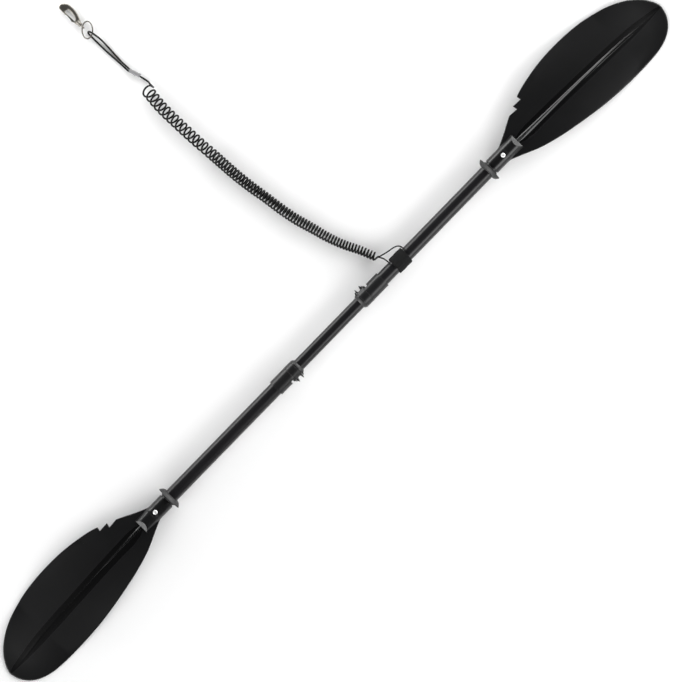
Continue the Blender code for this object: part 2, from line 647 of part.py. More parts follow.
def swivel_eye(look, level):
    """Eye for the split ring, with a flange and the stem that the hook turns on."""
    centre = (HOOK_X, HOOK_Y, level)
    form = bmesh.new()
    steps, sides = 20, 8
    rings = []
    for a in np.arange(steps) * 2 * math.pi / steps:
        ring = []
        for b in np.arange(sides) * 2 * math.pi / sides:
            reach = EYE_R + EYE_WIRE * math.cos(b)
            spot = Vector((EYE_WIRE * math.sin(b), reach * math.cos(a), reach * math.sin(a)))
            ring.append(form.verts.new(spot + Vector(centre)))
        rings.append(ring)
    for i in range(steps):
        for k in range(sides):
            m = (k + 1) % sides
            first, second = rings[i], rings[(i + 1) % steps]
            form.faces.new((first[k], first[m], second[m], second[k]))
    made = solid("swivel_eye", form, look, origin=centre)
    stem = [(0.0034, 0), (0.0034, 0.0020), (0.0046, 0.0034), (0.0054, 0.0050), (0.0080, 0.0050),
            (0.0083, 0.0017), (0.0125, 0.0017), (0.0125, 0)]
    combine(made, turned(stem, 16, "Y", False, centre), "UNION", centre)


def snap_hook(looks, swivel, gate_joint):
    """Swivel snap hook: eye, body, gate with its pin, and the spring that closes it."""
    level = HOOK_Z - AXIS_Z
    swivel_eye(looks["steel"], level)
    hook_body(looks["steel"], level, swivel)
    hook_gate(looks["steel"], level, gate_joint)
    centre = (*GATE_PIVOT, level)
    reach = HOOK_THICK / 2
    pin = [(-reach, 0), (-reach, GATE_PIN_R), (reach, GATE_PIN_R), (reach, 0)]
    solid("gate_pin", turned(pin, 12, "Z", False, centre), looks["steel"], origin=centre,
          parent=swivel)
    coil = [(0.0006, 0.0013), (0.0006, 0.0021), (0.0013, 0.0021), (0.0013, 0.0013)]
    solid("gate_spring", turned(coil, 12, "Z", True, centre), looks["steel"], origin=centre,
          parent=swivel)


def leash(looks):
    """The leash: cord through the cuff, coil, plain cord, crimp, loop and split ring."""
    tube_curve("leash_bail", smooth_curve(BAIL_ROUTE, 24), BAIL_R, 2, looks["cord"])
    coil = [(x, y, COIL_R + GAP) for x, y in smooth_curve(COIL_ROUTE, 15)]
    tube_curve("leash_coil", coil, COIL_R, 3, looks["cord"])
    tube_curve("leash_lead", smooth_curve(LEAD_ROUTE, 9), CORD_R, 2, looks["cord"])
    tube_curve("leash_loop", smooth_curve(LOOP_ROUTE, 30), CORD_R, 2, looks["cord"])
    crimp("crimp_sleeve", looks["crimp"])
    ring_loop("split_ring", looks["steel"])


def main():
    """Build the whole paddle: right half with the leash, centre tube, left half."""
    clear_scene()
    looks = {
        "shaft": material("shaft_coating", (0.015, 0.015, 0.017), 0.34),
        "blade": material("blade_plastic", (0.008, 0.008, 0.009), 0.42),
        "collar": material("collar_plastic", (0.012, 0.012, 0.013), 0.48),
        "rivet": material("rivet_aluminium", (0.86, 0.86, 0.86), 0.25, 1.0),
        "foam": material("bung_foam", (0.12, 0.12, 0.12), 0.95),
        "steel": material("plated_steel", (0.60, 0.58, 0.55), 0.25, 1.0),
        "rubber": material("ring_rubber", (0.012, 0.012, 0.013), 0.60),
        "strap": material("strap_nylon", (0.020, 0.020, 0.021), 0.85),
        "cord": material("cord_sheath", (0.010, 0.010, 0.010), 0.60),
        "crimp": material("crimp_sleeve", (0.60, 0.60, 0.60), 0.45),
    }
    right = empty("right_half", (0, 0, AXIS_Z))
    centre = empty("centre", (0, 0, AXIS_Z))
    left = empty("left_half", (0, 0, AXIS_Z))
    swivel = empty("hook_swivel", (HOOK_X, HOOK_Y, HOOK_Z))
    gate_joint = empty("gate_joint", (*GATE_PIVOT, HOOK_Z))
    half(1, looks, right)
    half(-1, looks, left)
    pipe("centre_tube", -CENTRE_HALF, CENTRE_HALF, CENTRE_R, CENTRE_BORE, looks["shaft"], centre)
    guide_plug("right_guide_plug", 1, looks["collar"], centre)
    guide_plug("left_guide_plug", -1, looks["collar"], centre)
    cuff("leash_cuff", looks["strap"], right)
    leash(looks)
    snap_hook(looks, swivel, gate_joint)


main()
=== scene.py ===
"""Looks of the kayak paddle: fine surfaces, procedural finishes, leash cords, floor, lights, camera.

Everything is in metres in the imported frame: +X along the shaft to the right blade, +Y towards the
notched edges and the leash, +Z up. New pieces are numpy surfaces, each a grid of points that is
worked out whole. The finishes read Object coordinates, and the piece's own UV map where a pattern
follows its surface.
"""

import math

import bmesh
import bpy
import numpy as np
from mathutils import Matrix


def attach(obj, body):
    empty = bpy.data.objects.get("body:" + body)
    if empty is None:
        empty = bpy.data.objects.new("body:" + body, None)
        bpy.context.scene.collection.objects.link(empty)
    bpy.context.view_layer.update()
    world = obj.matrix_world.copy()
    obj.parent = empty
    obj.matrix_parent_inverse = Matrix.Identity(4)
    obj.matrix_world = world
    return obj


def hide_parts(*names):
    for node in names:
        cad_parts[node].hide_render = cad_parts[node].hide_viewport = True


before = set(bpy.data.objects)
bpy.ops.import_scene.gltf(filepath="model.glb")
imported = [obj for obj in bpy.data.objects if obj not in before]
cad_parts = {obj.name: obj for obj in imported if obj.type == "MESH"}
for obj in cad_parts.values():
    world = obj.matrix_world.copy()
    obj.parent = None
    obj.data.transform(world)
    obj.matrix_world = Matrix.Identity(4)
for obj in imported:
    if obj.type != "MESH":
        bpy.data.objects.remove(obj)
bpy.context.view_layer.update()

# Sizes of the tubes, the cords and the clearance between parts
AXIS_Z = 0.0300
SHAFT_R = 0.0160
SHAFT_BORE = 0.0148
CENTRE_R = 0.0138
CENTRE_BORE = 0.0126
SHAFT_START = 0.1345
SHAFT_END = 0.5720
CENTRE_HALF = 0.2500
GAP = 0.0003
CORD_R = 0.0021
BAIL_R = 0.0016
COIL_LOWEST = 0.0004
TURN = 2 * math.pi

# Collar and flip lever
NOSE_X = 0.0948
COLLAR_END = 0.1668
COLLAR_R = 0.0189
COLLAR_BORE = 0.0141
RECESS_R = 0.0162
RECESS_START = 0.1040
RECESS_END = 0.1228
KERF = (0.1279, 0.1332)
KERF_FLOOR = 0.0100
KERF_REACH = 0.0140
WINDOW = (0.1067, 0.1201)
WINDOW_HALF = math.radians(13.8)
CHEEK_FOOT = 0.0150
CHEEK_HEIGHTS = (-0.0060, 0.0095)
PIN_ANGLE = math.radians(215)
PIN_RADIUS_OUT = 0.0195
PIN_Y = PIN_RADIUS_OUT * math.cos(PIN_ANGLE)
PIN_Z = PIN_RADIUS_OUT * math.sin(PIN_ANGLE)
LUG_R = 0.0031
LUG_WIDE = 0.0032
KNUCKLE_R = 0.0029
LEVER_GAP = 0.0004
BEVEL_STEPS = 4
HORN_FOOT = 0.0176
HORN_TIP = 0.0275
HORN_HEIGHTS = (0.0050, 0.0100)
# How far out the lever's front edge stands: place along the shaft, reach
HORN_TEETH = [
    (0.1044, 0.0212), (0.1053, 0.0236), (0.1061, 0.0266), (0.1067, HORN_TIP), (0.1073, 0.0266),
    (0.1082, 0.0222), (0.1089, 0.0193), (0.1098, 0.0183), (0.1152, 0.0183), (0.1161, 0.0193),
    (0.1168, 0.0222), (0.1187, 0.0266), (0.1193, HORN_TIP), (0.1199, 0.0266), (0.1211, 0.0236),
    (0.1224, 0.0212),
]

# Blade, its socket and its rivets
SOCKET_START = 0.5097
SOCKET_BORE_END = 0.5724
SOCKET_R = 0.0185
SOCKET_STEP = 0.5885
CHAMFER_START = 0.5780
BLADE_TIP = 1.0243
STEP_HEIGHT = 0.0087
BACK_TAPER = (0.5760, 0.6660)
PLATE_START = 0.5495
PLATE_THICK = 0.0036
PLATE_RISE = 0.0020
BLADE_DROP = 0.0325
BLADE_CROWN = 0.0125
CROWN_HALF = 0.080
CROWN_LOSS = 0.92
CROWN_PLACE = 0.72
BLADE_RIM = 0.0030
RIM_SHARE = 0.62
RIM_ROUND = 0.0011
RIDGE_HALF = 0.0008
SPINE_POWER = 3
TIP_RUN = 0.0640
EDGE_COUNT = 700
FLOOR_FILLET = 0.004
SOCKET_FILLET = 0.0012
MOUTH_BLEND = (0.5460, 0.5560)
RIVET_X = 0.5434
RING_X = 0.4937

# Cuff and snap hook
CUFF = (0.2040, 0.2430)
CUFF_R = 0.0199
CUFF_LAP = 0.0009
CUFF_SWELL = 0.0012
HOOK_X, HOOK_Y, HOOK_Z = 0.1048, 0.8586, 0.0055
HOOK_THICK = 0.0060
EYE_R = 0.0038
EYE_WIRE = 0.0016
GATE_PIVOT = (HOOK_X - 0.0040, HOOK_Y + 0.0165)
GATE_END = 0.0268
GATE_HALF = 0.0013
GATE_KNUCKLE = 0.0023

# Edges of the right blade from its socket to its tip, as (x, y)
NOTCHED_EDGE = [
    (0.500, 0.0185), (0.530, 0.0185), (0.549, 0.0192), (0.572, 0.0286), (0.616, 0.0506),
    (0.664, 0.0704), (0.704, 0.0800), (0.750, 0.0864), (0.796, 0.0880), (0.836, 0.0865),
    (0.880, 0.0810), (0.928, 0.0685), (0.960, 0.0550), (0.986, 0.0385), (1.006, 0.0195),
    (1.019, -0.0010), (BLADE_TIP, -0.0160),
]
PLAIN_EDGE = [
    (0.500, -0.0185), (0.530, -0.0185), (0.549, -0.0192), (0.572, -0.0284), (0.616, -0.0475),
    (0.664, -0.0612), (0.704, -0.0695), (0.750, -0.0775), (0.796, -0.0835), (0.840, -0.0868),
    (0.890, -0.0880), (0.930, -0.0868), (0.960, -0.0830), (0.986, -0.0740), (1.006, -0.0595),
    (1.019, -0.0405), (BLADE_TIP, -0.0220),
]
# Corners of the two barbed notches, in order along the edge, each with the grid row's x inside it
NOTCH_CORNERS = [(0.6160, 0.0506), (0.6380, 0.0490), (0.6358, 0.0594), (0.6589, 0.0585),
                 (0.6567, 0.0675)]
NOTCH_ROWS = [0.6160, 0.6395, 0.6500, 0.6605, 0.6710]
NOTCH_REJOINS = 0.7050
# Line that stays inside the barbs: x, y
NOTCH_INSIDE = [(0.612, 0.0486), (0.616, 0.0500), (0.640, 0.0488), (0.662, 0.0585),
                (NOTCH_REJOINS, 0.0800)]
# How far inside the edge its rows leave the straight ones: x, depth
EDGE_DEPTH = [(0.55, 0.008), (0.60, 0.009), (0.64, 0.009), (0.70, 0.014)]
# Height of the spine over the plate: x, height
SPINE = [(0.5885, 0.0062), (0.6020, 0.0060), (0.6270, 0.0052), (0.7200, 0.0034), (0.8300, 0.0026),
         (0.9400, 0.0018), (1.0080, 0.0003), (BLADE_TIP, 0.0)]
# Ridge lines of the spine from its plain edge to its notched edge: x, then y of the five lines
RIDGES = [
    (0.5885, -0.0050, -0.0028, 0.0000, 0.0028, 0.0050),
    (0.6020, -0.0115, -0.0060, -0.0003, 0.0050, 0.0095),
    (0.6257, -0.0155, -0.0085, -0.0008, 0.0060, 0.0114),
    (0.6580, -0.0149, -0.0087, -0.0016, 0.0050, 0.0106),
    (0.6910, -0.0148, -0.0090, -0.0024, 0.0035, 0.0092),
    (0.7400, -0.0163, -0.0098, -0.0034, 0.0020, 0.0073),
    (0.7890, -0.0179, -0.0102, -0.0050, 0.0000, 0.0050),
    (0.8540, -0.0204, -0.0130, -0.0075, -0.0040, 0.0026),
    (0.9190, -0.0222, -0.0166, -0.0108, -0.0073, -0.0008),
    (0.9510, -0.0225, -0.0190, -0.0143, -0.0092, -0.0041),
    (0.9760, -0.0222, -0.0198, -0.0170, -0.0112, -0.0081),
    (1.0080, -0.0208, -0.0200, -0.0192, -0.0140, -0.0128),
    (BLADE_TIP, -0.0200, -0.0195, -0.0190, -0.0187, -0.0180),
]
# Height of each ridge line over the spine: x, height pairs, in the same order as the lines
RIDGE_HEIGHTS = [
    [(0.596, 0), (0.612, 0.0005), (0.950, 0.0005), (1.008, 0)],
    [(0.765, 0), (0.800, 0.0004), (0.935, 0.0005), (0.965, 0)],
    [(0.588, 0.0005), (0.660, 0.0005), (0.720, 0.0002), (0.860, 0.0002), (0.950, 0.0004), (1.006, 0)],
    [(0.810, 0), (0.860, 0.0002), (0.920, 0.0002), (0.980, 0.0003), (1.004, 0)],
    [(0.600, 0), (0.620, 0.0003), (0.700, 0.0003), (0.800, 0.0002), (0.960, 0)],
]

# The camera looks straight down, with the paddle running from lower left to upper right
VIEW_ROLL = math.radians(45.745)
VIEW_WIDTH = 1.4915
VIEW_CENTRE = (0.00435, -0.02713)
VIEW_HEIGHT = 6.0
SENSOR = 36.0

# Strength of the light from straight overhead, and what the paddle's two ends add to it
SURROUND_ZENITH = 0.05
SURROUND_ENDS = 6.8

# Finishes: how much paler the cloudy part, the scuffs and their ground are, and how far they show
CLOUD_LIFT = 1.35
SCUFF_LIFT = 2.2
SCUFF_GROUND = 0.01
SCUFF_SHARE = 0.10

# Route of the coil's centre line over the floor, as in the frame
COIL_ROUTE = [
    (0.1915, 0.0455), (0.1784, 0.0798), (0.1625, 0.1134), (0.1495, 0.1495), (0.1397, 0.1886),
    (0.1295, 0.2261), (0.1221, 0.2666), (0.1168, 0.3088), (0.1107, 0.3506), (0.1062, 0.3953),
    (0.1033, 0.4530), (0.1001, 0.5060), (0.0989, 0.5500), (0.0988, 0.6100), (0.1040, 0.6600),
]
# Pitch, radius and lean of the coil's turns: share of the route, value
COIL_PITCH = [(0, 0.0074), (0.10, 0.0068), (0.25, 0.0070), (0.40, 0.0078), (0.66, 0.0084),
              (0.70, 0.0126), (1, 0.0128)]
COIL_RADIUS = [(0, 0.0082), (0.15, 0.0088), (0.28, 0.0103), (0.45, 0.0103), (0.55, 0.0111),
               (0.75, 0.0117), (1, 0.0128)]
COIL_LEAN = [(0, 0.0012), (0.2, 0.0020), (0.66, 0.0046), (0.72, 0.0062), (1, 0.0062)]

# Routes of the plain cord up to the crimp, of its loop beyond it, and of the bail cord at the cuff
LEAD_ROUTE = [
    (0.1180, 0.6650, 0.0090), (0.1190, 0.6690, 0.0045), (0.1188, 0.6735, 0.0024),
    (0.1178, 0.6795, 0.0023), (0.1162, 0.6865, 0.0029), (0.1152, 0.6905, 0.0040),
]
LOOP_ROUTE = [
    (0.1101, 0.7205, 0.0058), (0.1096, 0.7440, 0.0034), (0.1108, 0.7660, 0.0026),
    (0.1124, 0.7920, 0.0030), (0.1126, 0.8120, 0.0060), (0.1108, 0.8260, 0.0094),
    (0.1092, 0.8350, 0.0104), (0.1062, 0.8412, 0.0074), (0.1036, 0.8396, 0.0034),
    (0.1030, 0.8330, 0.0022), (0.1026, 0.8110, 0.0022), (0.1026, 0.7870, 0.0022),
    (0.1036, 0.7660, 0.0022), (0.1048, 0.7440, 0.0026), (0.1055, 0.7200, 0.0044),
]
BAIL_ROUTE = [
    (0.2022, 0.0120, 0.0482), (0.2016, 0.0215, 0.0424), (0.2000, 0.0305, 0.0304),
    (0.1968, 0.0378, 0.0215), (0.1955, 0.0402, 0.0192), (0.2016, 0.0382, 0.0205),
    (0.2180, 0.0338, 0.0240), (0.2320, 0.0310, 0.0290), (0.2415, 0.0266, 0.0352),
    (0.2458, 0.0194, 0.0412), (0.2458, 0.0124, 0.0464), (0.2452, 0.0084, 0.0494),
]
CRIMP_ENDS = ((0.1160, 0.6925, 0.0050), (0.1082, 0.7185, 0.0050))
CRIMP_HALF = (0.0046, 0.0036)

# Oval split ring: its middle, half axes and lean, and half the width and height of its flat wire
RING_MIDDLE = (0.1070, 0.8460, 0.0060)
RING_HALF = (0.0190, 0.0115)
RING_LEAN = math.radians(45)
RING_WIRE = 0.0014
RING_LEAF = 0.00068
# Where the crossing between the ring's two turns starts, and its length, both in turns
RING_CROSSING = (0.93, 0.14)
RING_SPREAD = 1.06


# ---------------------------------------------------------- camera, room


def add_camera():
    """Camera straight above the paddle, rolled so that the shaft runs up to the right.

    The tones are shown as they are lit, with no film curve over them.
    """
    lens = bpy.data.cameras.new("camera")
    lens.sensor_width = SENSOR
    lens.lens = SENSOR * VIEW_HEIGHT / VIEW_WIDTH
    lens.clip_end = 100
    camera = bpy.data.objects.new("camera", lens)
    bpy.context.scene.collection.objects.link(camera)
    camera.location = (*VIEW_CENTRE, VIEW_HEIGHT + AXIS_Z)
    camera.rotation_euler = (0, 0, -VIEW_ROLL)
    bpy.context.scene.camera = camera
    bpy.context.scene.view_settings.view_transform = "Standard"


def add_softbox(name, middle, size, radiance):
    """Soft panel of light beside the paddle, aimed at the shaft, of the given radiance."""
    lamp = bpy.data.lights.new(name, "AREA")
    lamp.shape = "RECTANGLE"
    lamp.size, lamp.size_y = size
    lamp.energy = radiance * math.pi * size[0] * size[1]
    panel = bpy.data.objects.new(name, lamp)
    bpy.context.scene.collection.objects.link(panel)
    panel.location = middle
    panel.rotation_euler = (math.atan2(middle[1], AXIS_Z - middle[2]) + math.pi, 0, 0)


def add_surround():
    """Light from all round: dark overhead, and bright low down past the two ends of the paddle.

    For a unit direction (x, y, z) its strength is zenith + ends * |x|^4.
    """
    world = bpy.data.worlds.new("surround")
    world.use_nodes = True
    nodes = Nodes(world.node_tree)
    place = nodes.add("ShaderNodeTexCoord")
    parts = nodes.add("ShaderNodeSeparateXYZ", Vector=place.outputs["Generated"])
    lobe = nodes.math("POWER", nodes.math("ABSOLUTE", parts.outputs["X"]), 4.0)
    strength = nodes.math("MULTIPLY_ADD", lobe, SURROUND_ENDS, SURROUND_ZENITH)
    back = world.node_tree.nodes["Background"]
    back.inputs["Color"].default_value = (1, 1, 1, 1)
    nodes.give(back.inputs["Strength"], strength)
    bpy.context.scene.world = world


def add_room():
    """White floor under a dim sky, with a soft panel of light on either side of the shaft."""
    size = 30.0
    mesh = bpy.data.meshes.new("floor")
    mesh.from_pydata([(-size, -size, 0), (size, -size, 0), (size, size, 0), (-size, size, 0)], [],
                     [(0, 1, 2, 3)])
    floor = bpy.data.objects.new("floor", mesh)
    bpy.context.scene.collection.objects.link(floor)
    look, _, shader = new_look("floor", 0.1)
    shader.inputs["Base Color"].default_value = (0.94, 0.94, 0.94, 1)
    shader.inputs["Roughness"].default_value = 0.9
    mesh.materials.append(look)
    add_surround()
    add_softbox("softbox_plain_side", (0.65, -1.60, 1.02), (1.5, 1.0), 4.2)
    add_softbox("softbox_notched_side", (0.40, 2.00, 0.40), (2.4, 0.6), 7.0)


# -------------------------------------------------------------- finishes


class Nodes:
    """Short way to add and link the nodes of one material, world or group."""

    def __init__(self, tree):
        self.tree = tree

    def add(self, kind, **settings):
        """Add a node. A setting is one of its attributes, or what an input named in words is given."""
        made = self.tree.nodes.new(kind)
        for name, value in settings.items():
            if hasattr(made, name):
                setattr(made, name, value)
            else:
                self.give(made.inputs[name.replace("_", " ")], value)
        return made

    def give(self, target, value):
        """Link an input to an output socket, or set it to a plain value."""
        if isinstance(value, bpy.types.NodeSocket):
            self.tree.links.new(value, target)
        else:
            target.default_value = value

    def math(self, operation, *values):
        """Add a math node on the given values. Returns its result."""
        made = self.add("ShaderNodeMath", operation=operation)
        for target, value in zip(made.inputs, values):
            self.give(target, value)
        return made.outputs["Value"]


def new_group(name, inputs, outputs):
    """Start a shader group. Returns it with its input and output nodes."""
    group = bpy.data.node_groups.new(name, "ShaderNodeTree")
    for label, kind, value in inputs:
        socket = group.interface.new_socket(label, in_out="INPUT", socket_type=kind)
        if value is not None:
            socket.default_value = value
    for label, kind in outputs:
        group.interface.new_socket(label, in_out="OUTPUT", socket_type=kind)
    nodes = Nodes(group)
    return group, nodes, nodes.add("NodeGroupInput"), nodes.add("NodeGroupOutput")


def grain_group():
    """Moulded or coated skin: fine bumps, soft cloudy wear and sparse light scuffs.

    Height is noise at the grain's scale. Cloud is slow noise for roughness, and Scuff is the peak
    of a stretched noise, which shows as thin lines.
    """
    group, nodes, given, out = new_group(
        "skin_grain",
        [("Vector", "NodeSocketVector", None), ("Grain", "NodeSocketFloat", 1200.0),
         ("Cloud", "NodeSocketFloat", 9.0), ("Scratch", "NodeSocketFloat", 40.0)],
        [("Height", "NodeSocketFloat"), ("Cloud", "NodeSocketFloat"), ("Scuff", "NodeSocketFloat")])
    place = given.outputs["Vector"]
    fine = nodes.add("ShaderNodeTexNoise", Detail=2.0, Roughness=0.55, Vector=place,
                     Scale=given.outputs["Grain"])
    slow = nodes.add("ShaderNodeTexNoise", Detail=4.0, Roughness=0.6, Vector=place,
                     Scale=given.outputs["Cloud"])
    drawn = nodes.add("ShaderNodeMapping", vector_type="POINT", Scale=(1.0, 0.06, 1.0),
                      Rotation=(0.0, 0.0, 0.5), Vector=place)
    lines = nodes.add("ShaderNodeTexNoise", Detail=3.0, Roughness=0.7, Distortion=0.6,
                      Vector=drawn.outputs["Vector"], Scale=given.outputs["Scratch"])
    peak = nodes.add("ShaderNodeMapRange", From_Min=0.68, From_Max=0.80, Value=lines.outputs["Fac"])
    nodes.give(out.inputs["Height"], fine.outputs["Fac"])
    nodes.give(out.inputs["Cloud"], slow.outputs["Fac"])
    nodes.give(out.inputs["Scuff"], peak.outputs["Result"])
    return group


def weave_group():
    """Plain weave on a UV map in millimetres: warp and weft bumps that take turns on top.

    Height is sin(pitch * u) * sin(pitch * v), brought to 0 to 1. Thread is a slow noise.
    """
    group, nodes, given, out = new_group(
        "weave",
        [("Vector", "NodeSocketVector", None), ("Pitch", "NodeSocketFloat", 1.0)],
        [("Height", "NodeSocketFloat"), ("Thread", "NodeSocketFloat")])
    place = given.outputs["Vector"]
    parts = nodes.add("ShaderNodeSeparateXYZ", Vector=place)
    waves = [nodes.math("SINE", nodes.math("MULTIPLY", parts.outputs[axis], given.outputs["Pitch"]))
             for axis in ("X", "Y")]
    over = nodes.add("ShaderNodeMapRange", From_Min=-1.0, Value=nodes.math("MULTIPLY", *waves))
    fuzz = nodes.add("ShaderNodeTexNoise", Scale=6.0, Detail=3.0, Vector=place)
    nodes.give(out.inputs["Height"], over.outputs["Result"])
    nodes.give(out.inputs["Thread"], fuzz.outputs["Fac"])
    return group


GRAIN = grain_group()
WEAVE = weave_group()


def new_look(name, specular):
    """Start a material. Returns it with its nodes and its shader."""
    look = bpy.data.materials.new(name)
    look.use_nodes = True
    shader = look.node_tree.nodes["Principled BSDF"]
    shader.inputs["Specular IOR Level"].default_value = specular
    return look, Nodes(look.node_tree), shader


def ramp_between(nodes, source, low, high):
    """Map a 0 to 1 value to a range that feeds a varying socket."""
    span = nodes.add("ShaderNodeMapRange", To_Min=low, To_Max=high, Value=source)
    return span.outputs["Result"]


def mixed(nodes, dark, pale, share):
    """Colour between two, of which either may be a socket."""
    mix = nodes.add("ShaderNodeMix", data_type="RGBA", A=dark, B=pale, Factor=share)
    return mix.outputs["Result"]


def scaled(nodes, source, share, factor):
    """A value or colour multiplied by a factor where share is 1, and left alone where it is 0."""
    scale = nodes.add("ShaderNodeVectorMath", operation="SCALE", Vector=source,
                      Scale=ramp_between(nodes, share, 1.0, factor))
    return scale.outputs["Vector"]


def tinted(colour, factor, ground=0.0):
    """A colour made paler or darker by a factor, over a ground level, as red, green, blue, alpha."""
    return (*[min(1, c * factor + ground) for c in colour], 1)


def surface(nodes, shader, colour, rough, height, strength, depth):
    """Feed the shader its colour, its roughness, and a bump of the given height and depth."""
    bump = nodes.add("ShaderNodeBump", Strength=strength, Distance=depth, Height=height)
    nodes.give(shader.inputs["Base Color"], colour)
    nodes.give(shader.inputs["Roughness"], rough)
    nodes.give(shader.inputs["Normal"], bump.outputs["Normal"])


def skin(name, colour, rough, grain=1200.0, depth=0.00004, metallic=0.0, specular=0.5, flute_shade_and_polish=None):
    """Moulded, coated or plated skin. colour is its darkest tone, and rough its range of roughness.

    The last argument, if given, scales (colour, roughness) where the UV map's v is 1, as in the
    blade's
    flutes: the colour scale there is painted shade, and the roughness scale is their polish.
    """
    look, nodes, shader = new_look(name, specular)
    shader.inputs["Metallic"].default_value = metallic
    place = nodes.add("ShaderNodeTexCoord")
    kit = nodes.add("ShaderNodeGroup", node_tree=GRAIN, Grain=grain, Vector=place.outputs["Object"])
    cloud, scuff = kit.outputs["Cloud"], kit.outputs["Scuff"]
    tint = mixed(nodes, tinted(colour, 1), tinted(colour, CLOUD_LIFT), cloud)
    tint = mixed(nodes, tint, tinted(colour, SCUFF_LIFT, SCUFF_GROUND),
                 ramp_between(nodes, scuff, 0.0, SCUFF_SHARE))
    haze = ramp_between(nodes, cloud, *rough)
    # Where v is 1 the colour is darkened as painted shade, and the roughness lowered as polish
    if flute_shade_and_polish:
        parts = nodes.add("ShaderNodeSeparateXYZ", Vector=place.outputs["UV"])
        tint = scaled(nodes, tint, parts.outputs["Y"], flute_shade_and_polish[0])
        haze = scaled(nodes, haze, parts.outputs["Y"], flute_shade_and_polish[1])
    surface(nodes, shader, tint, haze, kit.outputs["Height"], 0.6, depth)
    return look


def webbing(name, colour, pitch):
    """Woven strap whose UV map is in millimetres along and across it."""
    look, nodes, shader = new_look(name, 0.25)
    place = nodes.add("ShaderNodeTexCoord")
    kit = nodes.add("ShaderNodeGroup", node_tree=WEAVE, Pitch=pitch, Vector=place.outputs["UV"])
    tint = mixed(nodes, tinted(colour, 0.55), tinted(colour, CLOUD_LIFT), kit.outputs["Thread"])
    haze = ramp_between(nodes, kit.outputs["Height"], 0.95, 0.72)
    surface(nodes, shader, tint, haze, kit.outputs["Height"], 0.9, 0.0003)
    return look


# ----------------------------------------------------- shapes from grids


def value_at(table, x):
    """Value at x on the straight lines through a table of (x, value)."""
    places, values = zip(*table)
    return np.interp(x, places, values)


def run_along(points):
    """Distance from the first point to each one, along the line through them."""
    return np.concatenate([[0], np.cumsum(np.linalg.norm(np.diff(points, axis=0), axis=1))])


def circle_angles(count):
    """Even angles round a whole turn."""
    return np.arange(count) * TURN / count


def eased(share):
    """Share from 0 to 1 with a soft start and end, 3 s^2 - 2 s^3."""
    return share * share * (3 - 2 * share)


def smooth_curve(points, count):
    """Catmull-Rom curve through points, at count places spaced evenly along it."""
    knots = np.array(points, dtype=float)
    ends = np.vstack([2 * knots[0] - knots[1], knots, 2 * knots[-1] - knots[-2]])
    a, b, c, d = (ends[i:len(ends) - 3 + i, None] for i in range(4))
    t = np.linspace(0, 1, 24, endpoint=False)[None, :, None]
    fine = 0.5 * (2 * b + (c - a) * t + (2 * a - 5 * b + 4 * c - d) * t**2
                  + (3 * b - a - 3 * c + d) * t**3)
    fine = np.vstack([fine.reshape(-1, knots.shape[1]), knots[-1:]])
    reach = run_along(fine)
    spots = np.linspace(0, reach[-1], count)
    return np.column_stack([np.interp(spots, reach, fine[:, k]) for k in range(fine.shape[1])])


def add_piece(name, points, faces, look, body, slot, stands_for=(), sharp=35.0, uv=None):
    mesh = bpy.data.meshes.new(name)
    mesh.from_pydata(points, [], faces)
    if uv is not None:
        layer = mesh.uv_layers.new(name="UVMap")
        layer.data.foreach_set("uv", uv.ravel())
    form = bmesh.new()
    form.from_mesh(mesh)
    bmesh.ops.remove_doubles(form, verts=form.verts, dist=2e-6)
    bmesh.ops.dissolve_degenerate(form, edges=form.edges, dist=1e-7)
    bmesh.ops.recalc_face_normals(form, faces=form.faces)
    form.to_mesh(mesh)
    form.free()
    mesh.shade_smooth()
    mesh.set_sharp_from_angle(angle=math.radians(sharp))
    mesh.materials.append(look)
    piece = bpy.data.objects.new(name, mesh)
    bpy.context.scene.collection.objects.link(piece)
    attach(piece, body)
    if stands_for:
        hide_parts(*stands_for)
    return piece


def grid_faces(rows, columns, wrap_rows=False):
    """Corner numbers of every quad of a grid numbered row by row, each row closed on itself."""
    i = np.arange(rows if wrap_rows else rows - 1)[:, None]
    j = np.arange(columns)[None, :]
    ii, jj = (i + 1) % rows, (j + 1) % columns
    corners = np.stack([i * columns + j, ii * columns + j, ii * columns + jj, i * columns + jj], -1)
    return corners.reshape(-1, 4)


def turned_points(profile, sides):
    """Points of a profile of (x, radius) turned about the shaft's axis: rows along the profile."""
    profile = np.array(profile, dtype=float)
    angle = circle_angles(sides)
    x = np.broadcast_to(profile[:, :1], (len(profile), sides))
    y = profile[:, 1:] * np.cos(angle)
    z = AXIS_Z + profile[:, 1:] * np.sin(angle)
    return np.stack([x, y, z], -1)


def add_grid(name, points, look, body, slot, stands_for=(), closed=False, sharp=35.0, uv=None):
    """A piece from a grid of rows of points that wraps round each row, and past the last if closed.

    uv, if given, is one (u, v) for each point of the grid.
    """
    rows, columns = points.shape[:2]
    faces = grid_faces(rows, columns, wrap_rows=closed)
    if uv is not None:
        uv = uv.reshape(-1, 2)[faces]
    return add_piece(name, points.reshape(-1, 3), faces, look, body, slot, stands_for, sharp, uv)


def rounded(profile, radius, steps=5):
    """Round each corner of an open profile with an arc-like curve of the given reach."""
    knots = np.array(profile, dtype=float)
    before = knots[:-2] - knots[1:-1]
    after = knots[2:] - knots[1:-1]
    reach_before = np.linalg.norm(before, axis=1)[:, None]
    reach_after = np.linalg.norm(after, axis=1)[:, None]
    cut = np.minimum(radius, 0.45 * np.minimum(reach_before, reach_after))
    start = knots[1:-1] + before / reach_before * cut
    end = knots[1:-1] + after / reach_after * cut
    t = np.linspace(0, 1, steps)[None, :, None]
    bends = start[:, None] * (1 - t)**2 + 2 * knots[1:-1, None] * t * (1 - t) + end[:, None] * t**2
    return np.vstack([knots[:1], bends.reshape(-1, knots.shape[1]), knots[-1:]])


